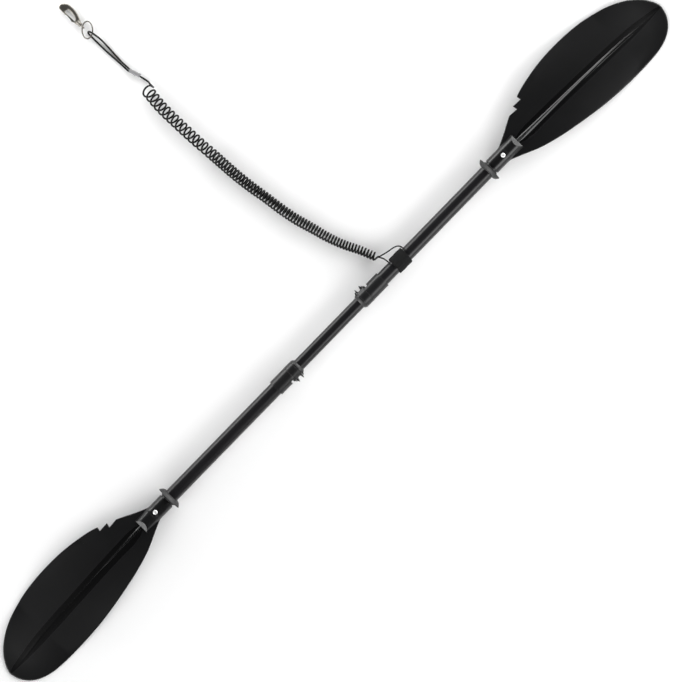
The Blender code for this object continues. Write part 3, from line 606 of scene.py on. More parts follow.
def frames_along(path):
    """Tangent, and two directions across, at each point of a path, carried without twist."""
    tangent = np.gradient(path, axis=0)
    tangent /= np.linalg.norm(tangent, axis=1)[:, None]
    across = np.empty_like(path)
    first = np.cross(tangent[0], (0.3, 0.2, 1.0))
    across[0] = first / np.linalg.norm(first)
    for i in range(1, len(path)):
        side = across[i - 1] - tangent[i] * np.dot(across[i - 1], tangent[i])
        across[i] = side / np.linalg.norm(side)
    return tangent, across, np.cross(tangent, across)


def tube_points(path, radius, sides):
    """Round tube along a path: a circle across the path at each point, and a blunt tip at each end.

    A tip has a shoulder of 0.75 radii, 0.35 radii past the end, and comes together at 0.5 radii.
    """
    tangent, across, up = frames_along(path)
    angle = circle_angles(sides)[:, None]
    ring = radius * (across[:, None] * np.cos(angle) + up[:, None] * np.sin(angle))
    tips = []
    for k, way in ((0, -radius), (-1, radius)):
        shoulder = path[k] + tangent[k] * way * 0.35 + ring[k] * 0.75
        peak = np.broadcast_to(path[k] + tangent[k] * way * 0.5, shoulder.shape)
        tips.append(np.stack([peak, shoulder]))
    return np.concatenate([tips[0], path[:, None] + ring, tips[1][::-1]])


def superellipse(count, power):
    """Unit outline |a|^(2/power) + |b|^(2/power) = 1 at count even angles, as two arrays."""
    angle = circle_angles(count)
    a, b = np.cos(angle), np.sin(angle)
    return np.sign(a) * np.abs(a)**power, np.sign(b) * np.abs(b)**power


def offset_loop(loop, inset):
    """A closed outline drawn in by an inset along the bisectors of its corners."""
    before = loop - np.roll(loop, 1, axis=0)
    after = np.roll(loop, -1, axis=0) - loop
    normals = [np.column_stack([-e[:, 1], e[:, 0]]) / np.linalg.norm(e, axis=1)[:, None]
               for e in (before, after)]
    bisector = normals[0] + normals[1]
    bisector /= np.maximum(np.linalg.norm(bisector, axis=1)[:, None], 0.5)
    turning = np.sum(loop[:, 0] * np.roll(loop[:, 1], -1) - loop[:, 1] * np.roll(loop[:, 0], -1))
    return loop + bisector * inset * np.sign(turning)


def bevelled_levels(low, high, bevel):
    """(level, inset) pairs from low to high with a quarter circle at each end."""
    a = np.linspace(0, math.pi / 2, BEVEL_STEPS)
    level = np.concatenate([low + bevel * (1 - np.cos(a)), high - bevel * (1 - np.cos(a[::-1]))])
    inset = np.concatenate([bevel * (1 - np.sin(a)), bevel * (1 - np.sin(a[::-1]))])
    return list(zip(level, inset))


def prism(loop, levels, axis, shape=None):
    """Points and faces of an outline carried through (level, inset) pairs, with flat ends.

    axis says which way the levels run: X for an outline in (Y, Z), Z for one in (X, Y). shape, if
    given, changes the outline at each level.
    """
    loop = np.array(loop, dtype=float)
    rows = []
    for level, inset in levels:
        ring = offset_loop(shape(loop, level) if shape else loop, inset)
        flat = np.full((len(ring), 1), level)
        rows.append(np.hstack([flat, ring]) if axis == "X" else np.hstack([ring, flat]))
    count = len(loop)
    faces = grid_faces(len(levels), count).tolist()
    faces += [list(range(count)), list(range(count * (len(levels) - 1), count * len(levels)))]
    return np.vstack(rows), faces


def joined(*shapes):
    """One list of points and one of faces from several (points, faces)."""
    points, faces, start = [], [], 0
    for some, corners in shapes:
        points.append(some)
        faces += [[c + start for c in face] for face in corners]
        start += len(some)
    return np.vstack(points), faces


def rounded_loop(loop, radius):
    """Round every corner of a closed outline."""
    knots = np.array(loop, dtype=float)
    wrapped = np.vstack([knots[-1:], knots, knots[:1]])
    return rounded(wrapped, radius, 4)[1:-1]


# ----------------------------------------------------------------- leash


def coil_path():
    """Centre line of the coiled cord.

    At a share s of the route the cord stands at a radius R(s) from the route's line, turned by
    its phase, and leans along the route by A(s) times the height over the axis, as turns do that
    lie over on a floor. The pitch grows from the close turns at the cuff to the open ones.
    """
    base = smooth_curve(COIL_ROUTE, 400)
    share = np.linspace(0, 1, len(base))
    pitch = value_at(COIL_PITCH, share)
    step = run_along(base)[-1] / (len(base) - 1)
    phase = np.concatenate([[0], np.cumsum(step / (0.5 * (pitch[1:] + pitch[:-1])))])
    turns = np.linspace(0, phase[-1], 1500)
    s = np.interp(turns, phase, share)
    centre = np.column_stack([np.interp(s, share, base[:, k]) for k in (0, 1)])
    along = np.gradient(centre, axis=0)
    along /= np.linalg.norm(along, axis=1)[:, None]
    across = np.column_stack([-along[:, 1], along[:, 0]])
    radius = value_at(COIL_RADIUS, s)
    angle = (turns - turns[-1]) * TURN + math.pi
    flat = centre + across * (radius * np.cos(angle))[:, None]
    flat = flat + along * (value_at(COIL_LEAN, s) * np.sin(angle))[:, None]
    height = radius * (1 + np.sin(angle)) + CORD_R + COIL_LOWEST
    return np.column_stack([flat, height])


def leash_path():
    """Whole leash cord: coil, plain stretch, through the crimp, round the ring and back into it.

    The stretch from the bail runs into the coil over its first few points, and the plain stretch
    leaves it in the direction of its last two, so that neither meets it at a corner.
    """
    coil = coil_path()
    start = smooth_curve([(0.1972, 0.0385, 0.0200), (0.1955, 0.0412, 0.0160), coil[0], coil[6]], 18)
    lead = smooth_curve([coil[-1] + (coil[-1] - coil[-2]) * 3, *LEAD_ROUTE,
                         (0.1130, 0.7000, 0.0056), (0.1110, 0.7120, 0.0058), *LOOP_ROUTE,
                         (0.1078, 0.7120, 0.0046), (0.1098, 0.7020, 0.0046)], 260)
    return np.vstack([start[:-4], coil[3:], lead])


def add_leash(looks):
    """Leash cords and everything on them that isn't the hook."""
    path = leash_path()
    cord = add_grid("leash_cord", tube_points(path, CORD_R, 10), looks["cord"], "right_half",
                    "coil_sheath", ("leash_coil", "leash_lead", "leash_loop"), sharp=60)
    bail_path = smooth_curve(BAIL_ROUTE, 70)
    bail = add_grid("leash_bail_cord", tube_points(bail_path, BAIL_R, 10), looks["cord"],
                    "right_half", "cord_sheath", ("leash_bail",), sharp=60)
    sleeve = add_crimp(looks)
    ring = add_split_ring(looks)
    eye = add_swivel_eye(looks)


def add_crimp(looks):
    """Sleeve squeezed oval over both strands: a superellipse carried along it, with two dents."""
    start, end = np.array(CRIMP_ENDS)
    share = np.array([0, 0, 0.02, 0.06, 0.14, 0.25, 0.36, 0.5, 0.64, 0.75, 0.86, 0.94, 0.98, 1, 1])
    size = np.array([0, 0.78, 0.90, 1.0, 1.0, 0.93, 1.0, 1.0, 1.0, 0.93, 1.0, 1.0, 0.90, 0.78, 0])
    run = end - start
    upward = np.array([0, 0, 1.0])
    wide = np.cross(run, upward)
    wide /= np.linalg.norm(wide)
    a, b = superellipse(40, 0.8)
    section = wide * (a * CRIMP_HALF[0])[:, None] + upward * (b * CRIMP_HALF[1])[:, None]
    middle = start + run * share[:, None]
    points = middle[:, None] + section * size[:, None, None]
    return add_grid("crimp_sleeve_look", points, looks["crimp"], "right_half", "crimp_sleeve",
                    ("crimp_sleeve",))


def add_split_ring(looks):
    """Oval split ring: two turns of flattened wire, one on the other, joined by a short crossing."""
    turns = np.linspace(0, 2 * TURN, 260)
    step = eased(np.clip((turns / TURN - RING_CROSSING[0]) / RING_CROSSING[1], 0, 1))
    rise = RING_LEAF * (2 * step - 1) * RING_SPREAD
    along = np.array([math.cos(RING_LEAN), math.sin(RING_LEAN)])
    aside = np.array([-along[1], along[0]])
    a, b = np.cos(turns)[:, None], np.sin(turns)[:, None]
    path = RING_MIDDLE[:2] + RING_HALF[0] * a * along + RING_HALF[1] * b * aside
    out = a / RING_HALF[0] * along + b / RING_HALF[1] * aside
    out /= np.linalg.norm(out, axis=1)[:, None]
    size = np.ones((len(turns), 1))
    size[[0, -1]] = 0
    angle = circle_angles(14)
    flat = path[:, None] + out[:, None] * (RING_WIRE * size * np.cos(angle))[..., None]
    height = RING_MIDDLE[2] + rise[:, None] + RING_LEAF * size * np.sin(angle)
    points = np.concatenate([flat, height[..., None]], -1)
    return add_grid("split_ring_look", points, looks["steel"], "right_half", "plated_steel",
                    ("split_ring",), sharp=60)


def add_swivel_eye(looks):
    """Eye of round wire, as a ring, with a flange and stem turned about +Y."""
    steps, sides = 40, 12
    a, b = circle_angles(steps)[:, None], circle_angles(sides)
    reach = EYE_R + EYE_WIRE * np.cos(b)
    ring = np.stack([HOOK_X + EYE_WIRE * np.sin(b) + 0 * a, HOOK_Y + reach * np.cos(a),
                     HOOK_Z + reach * np.sin(a)], -1)
    ring = (ring.reshape(-1, 3), grid_faces(steps, sides, wrap_rows=True).tolist())
    points, faces = joined(ring, turned_on_hook(EYE_STEM, 24))
    return add_piece("swivel_eye_look", points, faces, looks["steel"], "right_half", "plated_steel",
                     ("swivel_eye",))


# ------------------------------------------------------------------ hook


# Outer and inner side of the hook's body from its barrel to its nose, from the eye's middle
HOOK_SIDES = [
    (0.0050, 0.0096, -0.0044, 0.0096), (0.0066, 0.0125, -0.0060, 0.0130),
    (0.0082, 0.0158, -0.0066, 0.0162), (0.0095, 0.0190, -0.0056, 0.0194),
    (0.0110, 0.0230, 0.0000, 0.0222), (0.0128, 0.0285, 0.0036, 0.0280),
    (0.0146, 0.0370, 0.0052, 0.0372), (0.0149, 0.0455, 0.0055, 0.0442),
    (0.0140, 0.0545, 0.0046, 0.0480), (0.0106, 0.0618, 0.0024, 0.0500),
    (0.0050, 0.0672, 0.0000, 0.0506), (-0.0010, 0.0692, -0.0016, 0.0502),
    (-0.0058, 0.0672, -0.0028, 0.0491), (-0.0078, 0.0615, -0.0034, 0.0478),
    (-0.0080, 0.0530, -0.0038, 0.0462), (-0.0077, 0.0450, -0.0041, 0.0444),
]
# The swivel's flange and stem, and the barrel round it: distance from the eye's middle, radius
EYE_STEM = [(0.0034, 0.0), (0.0034, 0.0020), (0.0046, 0.0034), (0.0054, 0.0050), (0.0080, 0.0050),
            (0.0083, 0.0017), (0.0125, 0.0017), (0.0125, 0.0)]
HOOK_BARREL = [(0.0085, 0.0), (0.0085, 0.0040), (0.0092, 0.0047), (0.0118, 0.0047), (0.0124, 0.0043),
               (0.0132, 0.0047), (0.0160, 0.0047), (0.0172, 0.0030), (0.0176, 0.0)]
# The gate's bar, with the catch for the thumb, from its pivot
GATE_BAR = [(-0.0030, 0.0050), (-0.0052, 0.0082), (-0.0046, 0.0096), (-0.0024, 0.0090),
            (-0.0022, GATE_END), (0, GATE_END), (0.0002, 0.0090)]


def turned_on_hook(profile, sides):
    """Points and faces of a rounded profile turned about the hook's own line, along +Y."""
    profile = rounded(profile, 0.0004)
    angle = circle_angles(sides)
    points = np.stack([HOOK_X + profile[:, 1:] * np.sin(angle), HOOK_Y + profile[:, :1] + 0 * angle,
                       HOOK_Z + profile[:, 1:] * np.cos(angle)], -1)
    return points.reshape(-1, 3), grid_faces(len(profile), sides).tolist()


def hook_body_shape():
    """Cast strip swept between its two sides with a superellipse section, drawn in at both ends.

    An end is drawn in along a quarter of an ellipse, 1 mm long at the barrel and 1.8 mm at the nose.
    """
    sides = smooth_curve(HOOK_SIDES, 90)
    outer, inner = sides[:, :2] + (HOOK_X, HOOK_Y), sides[:, 2:] + (HOOK_X, HOOK_Y)
    middle, half = (outer + inner) / 2, (outer - inner) / 2
    forward = np.gradient(middle, axis=0)
    forward /= np.linalg.norm(forward, axis=1)[:, None]
    turn = np.linspace(0, math.pi / 2, 7)[1:]
    first = middle[:1] - forward[:1] * 0.0010 * np.sin(turn)[::-1, None]
    last = middle[-1:] + forward[-1:] * 0.0018 * np.sin(turn)[:, None]
    middle = np.vstack([first, middle, last])
    half = np.vstack([np.repeat(half[:1], len(turn), axis=0), half,
                      np.repeat(half[-1:], len(turn), axis=0)])
    size = np.concatenate([np.cos(turn)[::-1], np.ones(len(sides)), np.cos(turn)])[:, None]
    a, b = superellipse(36, 0.72)
    flat = middle[:, None] + half[:, None] * (a * size)[..., None]
    height = HOOK_Z + HOOK_THICK / 2 * b * size
    points = np.concatenate([flat, height[..., None]], -1)
    return points.reshape(-1, 3), grid_faces(len(points), len(a)).tolist()


def add_hook(looks):
    """Snap hook's cast body with its barrel, and its gate with the catch for the thumb."""
    body = joined(hook_body_shape(), turned_on_hook(HOOK_BARREL, 32))
    add_piece("hook_body_look", *body, looks["steel"], "hook", "plated_steel", ("hook_body",))
    turn = np.radians(np.linspace(60, -190, 26))
    knuckle = GATE_KNUCKLE * np.column_stack([np.cos(turn), np.sin(turn)])
    loop = rounded_loop(np.vstack([knuckle, GATE_BAR]) + GATE_PIVOT, 0.0005)
    levels = bevelled_levels(HOOK_Z - GATE_HALF, HOOK_Z + GATE_HALF, 0.0005)
    add_piece("hook_gate_look", *prism(loop, levels, "Z"), looks["steel"], "gate",
              "plated_steel", ("hook_gate",))


# ----------------------------------------------------------------- blade


def edge_points():
    """Outline of the notched edge as a dense line, with the barbs' corners slightly rounded."""
    smooth = smooth_curve(NOTCHED_EDGE, EDGE_COUNT)
    first, last = NOTCH_CORNERS[0], NOTCH_CORNERS[-1]
    before = smooth[smooth[:, 0] < first[0] - 0.0005]
    after = smooth[smooth[:, 0] > last[0] + 0.0010]
    corners = rounded([before[-1], *NOTCH_CORNERS, after[0]], 0.0010, 7)
    return np.vstack([before, corners[1:-1], after])


def blade_grid():
    """Rows of (x, y) over the blade, from the plain edge to the notched one, and its outline.

    Rows run straight across at their own x up to an inner line, and from there on to the notched
    edge, which they reach further back where the barbs overhang.
    """
    edge = edge_points()
    run = run_along(edge)
    marks = [run[np.argmin(np.linalg.norm(edge - corner, axis=1))] for corner in NOTCH_CORNERS]
    past_barbs = slice(-400, None)
    rejoin = np.interp(NOTCH_REJOINS, edge[past_barbs, 0], run[past_barbs])
    tip = (1 - np.cos(np.linspace(0, math.pi / 2, 46))) * TIP_RUN
    rows = np.concatenate([
        np.linspace(SOCKET_START + 0.0006, 0.5450, 8), np.arange(0.5458, 0.5883, 0.0008),
        [SOCKET_STEP, SOCKET_STEP + 0.0003], np.arange(0.5895, 0.6155, 0.0010),
        *[np.linspace(a, b, n, endpoint=False) for a, b, n in
          zip(NOTCH_ROWS, [*NOTCH_ROWS[1:], NOTCH_REJOINS], (26, 22, 26, 22, 26))],
        np.arange(NOTCH_REJOINS, BLADE_TIP - TIP_RUN, 0.0032), BLADE_TIP - tip[::-1]])
    reach = np.interp(rows, [*NOTCH_ROWS, NOTCH_REJOINS], [*marks, rejoin])
    aside = (rows >= NOTCH_ROWS[0]) & (rows < NOTCH_REJOINS)
    far = np.column_stack([np.interp(reach, run, edge[:, k]) for k in (0, 1)])
    plain_edge = smooth_curve(PLAIN_EDGE, EDGE_COUNT)
    straight = value_at(smooth_curve(NOTCHED_EDGE, EDGE_COUNT), rows)
    far = np.where(aside[:, None], far, np.column_stack([rows, straight]))
    ridges = ridge_lines(rows)
    inside = np.where((rows > NOTCH_INSIDE[0][0]) & (rows < NOTCH_REJOINS),
                      value_at(NOTCH_INSIDE, rows), straight)
    inner = inside - np.minimum(value_at(EDGE_DEPTH, rows), 0.45 * (inside - ridges[-1]))

    def band(start, end, share):
        """Places at the given shares of the way from start to end."""
        return start[:, None] + (end - start)[:, None] * share

    crowded = 1 - np.cos(np.linspace(0, 1, 46, endpoint=False) * math.pi / 2)
    y = [band(value_at(plain_edge, rows), ridges[0], crowded)]
    y += [band(a, b, np.linspace(0, 1, 8, endpoint=False)) for a, b in zip(ridges, ridges[1:])]
    y += [band(ridges[-1], inner, np.linspace(0, 1, 24, endpoint=False))]
    y = np.hstack(y)
    x = np.repeat(rows[:, None], y.shape[1], axis=1)
    share = np.sin(np.linspace(0, 1, 22) * math.pi / 2)
    start = np.column_stack([rows, inner])[:, None]
    outer = start + (far[:, None] - start) * share[:, None]
    outline = np.vstack([plain_edge, edge[::-1]])
    return (np.hstack([x, outer[..., 0]]), np.hstack([y, outer[..., 1]]),
            outline[outline[:, 0] > PLATE_START])


def ridge_lines(x):
    """y of the five ridge lines of the spine at each x."""
    places, *lines = zip(*RIDGES)
    return [np.interp(x, places, line) for line in lines]


def edge_distance(x, y, outline):
    """Distance from each point to the nearest part of the blade's outline."""
    start, end = outline[:-1], outline[1:]
    run = end - start
    size = np.maximum((run**2).sum(1), 1e-16)
    nearest = np.full(x.shape, np.inf)
    for i in range(0, len(start), 40):
        some = slice(i, i + 40)
        dx = x[..., None] - start[some, 0]
        dy = y[..., None] - start[some, 1]
        t = np.clip((dx * run[some, 0] + dy * run[some, 1]) / size[some], 0, 1)
        gap = np.hypot(dx - t * run[some, 0], dy - t * run[some, 1]).min(-1)
        nearest = np.minimum(nearest, gap)
    return nearest


def soft_max(a, b, width):
    """Larger of two heights, with a fillet of the given width where they cross."""
    share = np.clip(0.5 + 0.5 * (a - b) / width, 0, 1)
    return b + (a - b) * share + width * share * (1 - share)


def blade_surfaces(x, y, gap):
    """Upper and lower heights about the shaft's axis.

    plate = rise - drop*s^2 - crown(s)*(y/half)^2, with s the share of the way from the socket to
    the tip. The spine stands on it as height*(1 - t)^3 for a share t from its crest to its edge,
    with a bell-shaped ridge on each of its five lines. The socket is a round tube whose top is
    planed off in front of the plate and whose underside fades out along the back.
    """
    s = np.clip((x - SOCKET_STEP) / (BLADE_TIP - SOCKET_STEP), 0, 1)
    outer = np.clip((s - CROWN_PLACE) / (1 - CROWN_PLACE), 0, 1)
    crown = BLADE_CROWN * np.sin(math.pi / 2 * np.minimum(1, s / CROWN_PLACE))**2
    plate = PLATE_RISE - BLADE_DROP * s**2 - crown * (1 - CROWN_LOSS * outer) * (y / CROWN_HALF)**2
    thick = PLATE_THICK * (RIM_SHARE + (1 - RIM_SHARE) * np.clip(gap / BLADE_RIM, 0, 1)**0.5)
    thick = thick * np.sqrt(np.clip(1 - (1 - np.minimum(gap / RIM_ROUND, 1))**2, 0, 1))
    middle = soft_max(plate, thick / 2 - AXIS_Z, FLOOR_FILLET)
    upper, lower = middle + thick / 2, middle - thick / 2
    lines = ridge_lines(x)
    flank = np.where(y < lines[2], lines[2] - lines[0], lines[4] - lines[2])
    crest = np.clip(1 - np.abs(y - lines[2]) / flank, 0, 1)**SPINE_POWER
    fade_in = np.clip(gap / 0.004, 0, 1)
    upper = upper + fade_in * value_at(SPINE, x) * crest
    for line, heights in zip(lines, RIDGE_HEIGHTS):
        upper = upper + fade_in * value_at(heights, x) * np.exp(-((y - line) / RIDGE_HALF)**2)

    half_round = np.sqrt(np.clip(SOCKET_R**2 - y**2, 0, None))
    inside = np.abs(y) < SOCKET_R
    slope = (SOCKET_R - STEP_HEIGHT) / (SOCKET_STEP - CHAMFER_START)
    top = np.minimum(half_round, SOCKET_R - slope * (x - CHAMFER_START))
    upper = np.where(inside & (x <= SOCKET_STEP), soft_max(top, upper, SOCKET_FILLET), upper)
    left = 1 - eased(np.clip((x - BACK_TAPER[0]) / (BACK_TAPER[1] - BACK_TAPER[0]), 0, 1))
    belly = -half_round * left + STEP_HEIGHT * (1 - left)
    lower = np.where(inside & (left > 0), -soft_max(-belly, -lower, SOCKET_FILLET), lower)
    low_edge = np.abs(y).max(axis=1, keepdims=True)
    tube = np.sqrt(np.clip(low_edge**2 - y**2, 0, None))
    share = eased(np.clip((x - MOUTH_BLEND[0]) / (MOUTH_BLEND[1] - MOUTH_BLEND[0]), 0, 1))
    plain = x < MOUTH_BLEND[1]
    upper = np.where(plain, tube * (1 - share) + upper * share, upper)
    lower = np.where(plain, -tube * (1 - share) + lower * share, lower)
    return upper, lower


def flute_share(x, y):
    """1 between the outer ridge lines of the spine, 0 a millimetre outside them and on the socket."""
    lines = ridge_lines(x)
    inside = np.minimum(y - lines[0], lines[4] - y)
    return np.clip(inside / 0.001 + 1, 0, 1) * np.clip((x - SOCKET_STEP) / 0.002, 0, 1)


def add_blade(word, side, looks):
    """Moulded blade: bore of the socket, its mouth, then rows out to the tip."""
    x, y, outline = blade_grid()
    gap = edge_distance(x, y, outline)
    gap[x < PLATE_START] = 1.0
    upper, lower = blade_surfaces(x, y, gap)
    count = x.shape[1]
    over = np.stack([x, y, upper], -1)
    under = np.stack([x, y, lower], -1)[:, count - 2:0:-1]
    rows = np.concatenate([over, under], axis=1)
    unit_y = y[0] / SOCKET_R
    unit_z = np.sqrt(np.clip(1 - unit_y**2, 0, None))
    circle = np.column_stack([np.concatenate([unit_y, unit_y[count - 2:0:-1]]),
                              np.concatenate([unit_z, -unit_z[count - 2:0:-1]])])
    bore = SHAFT_R + GAP
    mouth = [(SOCKET_BORE_END, 0.0), (SOCKET_BORE_END, bore), (SOCKET_START + 0.0004, bore),
             (SOCKET_START, SHAFT_R + 0.0007), (SOCKET_START, SOCKET_R - 0.0006),
             (SOCKET_START + 0.0003, SOCKET_R - 0.0001)]
    start = np.stack([np.column_stack([np.full(len(circle), a), circle * r]) for a, r in mouth])
    points = np.concatenate([start, rows])
    uv = np.zeros((*points.shape[:2], 2))
    uv[..., 0] = points[..., 0]
    # v is 1 on the flutes, where the blade's finish paints shade and adds polish
    uv[len(mouth):, :count, 1] = flute_share(x, y)
    points[..., 0] *= side
    points[..., 2] += AXIS_Z
    return add_grid(f"{word}_blade_look", points, looks["blade"], f"{word}_half", "blade_plastic",
                    (f"{word}_blade",), sharp=32, uv=uv)


# ------------------------------------------------ shaft and its fittings


def add_tubes(looks):
    """Both shafts, each a pipe with slightly rounded ends, and the centre tube, a pipe with square
    ends.
    """
    for word, side in (("right", 1), ("left", -1)):
        pipe = [(SHAFT_START, SHAFT_BORE), (SHAFT_START, SHAFT_R - 0.0003),
                (SHAFT_START + 0.0003, SHAFT_R), (SHAFT_END - 0.0003, SHAFT_R),
                (SHAFT_END, SHAFT_R - 0.0003), (SHAFT_END, SHAFT_BORE)]
        pipe = [(side * a, b) for a, b in pipe]
        add_grid(f"{word}_shaft_look", turned_points(pipe, 96), looks["shaft"], f"{word}_half",
                 "shaft_coating", (f"{word}_shaft",), closed=True)
    pipe = [(-CENTRE_HALF, CENTRE_BORE), (-CENTRE_HALF, CENTRE_R), (CENTRE_HALF, CENTRE_R),
            (CENTRE_HALF, CENTRE_BORE)]
    add_grid("centre_tube_look", turned_points(pipe, 96), looks["shaft"], "centre", "shaft_coating",
             ("centre_tube",), closed=True)


def collar_radius(x, angle, radius):
    """Radius of the collar's outer skin, with the kerf and the shoe's window cut into it.

    The kerf is flat-bottomed at y = 10 mm, so its radius is 10 mm / cos(angle), within 14 mm of
    the middle height. It never goes below the bore.
    """
    deep = np.maximum(KERF_FLOOR / np.maximum(np.cos(angle), 0.05), COLLAR_BORE)
    in_kerf = (x > KERF[0]) & (x < KERF[1]) & (np.abs(radius * np.sin(angle)) < KERF_REACH)
    in_kerf &= np.cos(angle) > 0
    radius = np.where(in_kerf, np.minimum(radius, deep), radius)
    near_pin = np.abs(angle - PIN_ANGLE) < WINDOW_HALF
    return np.where((x > WINDOW[0]) & (x < WINDOW[1]) & near_pin, COLLAR_BORE, radius)


def add_collar(word, turn, looks):
    """Ferrule: outer skin as a radius over (x, angle), bore, cheeks by the horns and pin lugs.

    The skin has a row just outside and just inside each edge of the kerf and of the window.
    """
    seat = SHAFT_R + GAP
    outer = rounded([(NOSE_X, COLLAR_BORE), (NOSE_X, 0.0146), (0.0975, 0.0172), (0.1012, COLLAR_R),
                     (RECESS_START, COLLAR_R), (RECESS_START, RECESS_R), (RECESS_END, RECESS_R),
                     (RECESS_END, COLLAR_R), (COLLAR_END, COLLAR_R), (COLLAR_END, seat)], 0.0005)
    outer = list(map(tuple, outer))
    edges = [edge + way for edge in (*KERF, *WINDOW) for way in (-0.0001, 0.0001)]
    for x in (*edges, *np.arange(0.1350, 0.1640, 0.004)):
        at = next(i for i in range(1, len(outer)) if outer[i][0] > x)
        outer.insert(at, (x, float(value_at(outer[at - 1:at + 1], x))))
    bore = [(SHAFT_START - GAP, seat), (SHAFT_START - GAP, COLLAR_BORE)]
    profile = np.array([*outer, *bore])
    angle = circle_angles(180)
    x = np.repeat(profile[:, :1], len(angle), axis=1)
    radius = np.repeat(profile[:, 1:], len(angle), axis=1)
    skin_rows = len(outer)
    radius[:skin_rows] = collar_radius(x[:skin_rows], angle, radius[:skin_rows])
    points = np.stack([x, radius * np.cos(angle), radius * np.sin(angle)], -1)
    faces = grid_faces(len(profile), len(angle), wrap_rows=True).tolist()
    shapes = [(points.reshape(-1, 3), faces)]
    front = [(0.0985, CHEEK_FOOT), (RECESS_START, CHEEK_FOOT), (RECESS_START, 0.0226),
             (0.1016, 0.0216)]
    back = [(RECESS_END, CHEEK_FOOT), (KERF[0], CHEEK_FOOT), (KERF[0], 0.0176), (0.1262, 0.0186),
            (0.1233, 0.0232), (RECESS_END, 0.0232)]
    for cheek in (front, back):
        levels = bevelled_levels(*CHEEK_HEIGHTS, 0.0010)
        shapes.append(prism(rounded_loop(cheek, 0.0006), levels, "Z"))
    spots = circle_angles(40)
    lug = np.column_stack([PIN_Y + LUG_R * np.cos(spots), PIN_Z + LUG_R * np.sin(spots)])
    for low, high in ((RECESS_START - LUG_WIDE, RECESS_START), (RECESS_END, RECESS_END + LUG_WIDE)):
        shapes.append(prism(lug, bevelled_levels(low, high, 0.0005), "X"))
    points, faces = joined(*shapes)
    add_piece(f"{word}_collar_look", place_collar(points, turn), faces, looks["collar"],
              f"{word}_half", "collar_plastic", (f"{word}_collar",), sharp=40)


def place_collar(points, turn):
    """Lift points about the axis to their height, and turn them half round for the left side."""
    points = points * np.array([-1, -1, 1]) if turn else points
    return points + np.array([0, 0, AXIS_Z])


def add_lever(word, turn, looks):
    """Band lever: its section in (Y, Z), with the horn drawn in or out along the shaft."""

    def arc(radius, start, end, count, centre=(0.0, 0.0)):
        """Points along an arc given in degrees."""
        a = np.radians(np.linspace(start, end, count))
        return np.column_stack([centre[0] + radius * np.cos(a), centre[1] + radius * np.sin(a)])

    horn = [(0.0200, 0.0052), (0.0235, 0.0054), (0.0269, 0.0056), (HORN_TIP, 0.0066),
            (0.0269, 0.0078), (0.0240, 0.0081), (0.0210, 0.0084), (HORN_FOOT, 0.0098)]
    loop = np.vstack([horn, arc(COLLAR_R + 0.0002, 40, 200, 60),
                      arc(KNUCKLE_R, 160, 345, 26, (PIN_Y, PIN_Z)),
                      arc(RECESS_R + LEVER_GAP, 200, 17, 60)])

    def with_horn(section, level):
        """Section whose horn reaches as far as the teeth do at this place."""
        section = section.copy()
        share = (value_at(HORN_TEETH, level) - HORN_FOOT) / (HORN_TIP - HORN_FOOT)
        out = (section[:, 0] > HORN_FOOT) & (section[:, 1] > HORN_HEIGHTS[0])
        out &= section[:, 1] < HORN_HEIGHTS[1]
        section[out, 0] = HORN_FOOT + (section[out, 0] - HORN_FOOT) * share
        return section

    low, high = RECESS_START + LEVER_GAP, RECESS_END - LEVER_GAP
    ends = bevelled_levels(low, high, 0.0005)
    middle = [(a, 0.0) for a in np.arange(low + 0.0008, high - 0.0007, 0.00035)]
    levels = [*ends[:BEVEL_STEPS], *middle, *ends[BEVEL_STEPS:]]
    points, faces = prism(loop, levels, "X", with_horn)
    add_piece(f"{word}_cam_lever_look", place_collar(points, turn), faces, looks["lever"],
              f"{word}_lever", "lever_plastic", (f"{word}_cam_lever",), sharp=40)


def add_drip_ring(word, side, looks):
    """Soft cup and its grooved hub as one turned profile."""
    grip = SHAFT_R + GAP
    profile = [(0, 0.0205), (0.0021, 0.0240), (0.0053, 0.0270), (0.0094, 0.0297),
               (0.0088, 0.0284), (0.0060, 0.0250), (0.0041, 0.0210), (0.0044, 0.0187),
               (0.0096, 0.0183), (0.0100, 0.0175), (0.0106, 0.0175), (0.0110, 0.0183),
               (0.0124, 0.0182), (0.0130, 0.0176), (0.0130, grip)]
    curve = rounded([(0, grip), *profile], 0.0006)
    curve = [(side * (RING_X + a), b) for a, b in curve]
    add_grid(f"{word}_drip_ring_look", turned_points(curve, 120), looks["rubber"], f"{word}_ring",
             "ring_rubber", (f"{word}_drip_ring",), closed=True, sharp=50)


def add_rivets(word, side, looks):
    """Blind rivets above and below: domed head with its pulled core, and the shank's bulb."""
    seat = SOCKET_R + 0.0001
    profile = rounded([(0.0122, 0), (0.0122, 0.0021), (0.0130, 0.0030), (0.0139, 0.0021),
                       (seat, 0.0021), (seat, 0.0050), (seat + 0.0006, 0.0049),
                       (seat + 0.0015, 0.0034), (seat + 0.0018, 0.0018), (seat + 0.0006, 0.0014),
                       (seat + 0.0009, 0.0007), (seat + 0.0010, 0)], 0.0003)
    angle = circle_angles(48)
    for place, face in (("top", 1), ("bottom", -1)):
        points = np.stack([side * RIVET_X + profile[:, 1:] * np.cos(angle),
                           profile[:, 1:] * np.sin(angle),
                           AXIS_Z + face * profile[:, :1] + 0 * angle], -1)
        add_grid(f"{word}_rivet_{place}_look", points, looks["rivet"], f"{word}_half",
                 "rivet_aluminium", (f"{word}_rivet_{place}",), sharp=50)


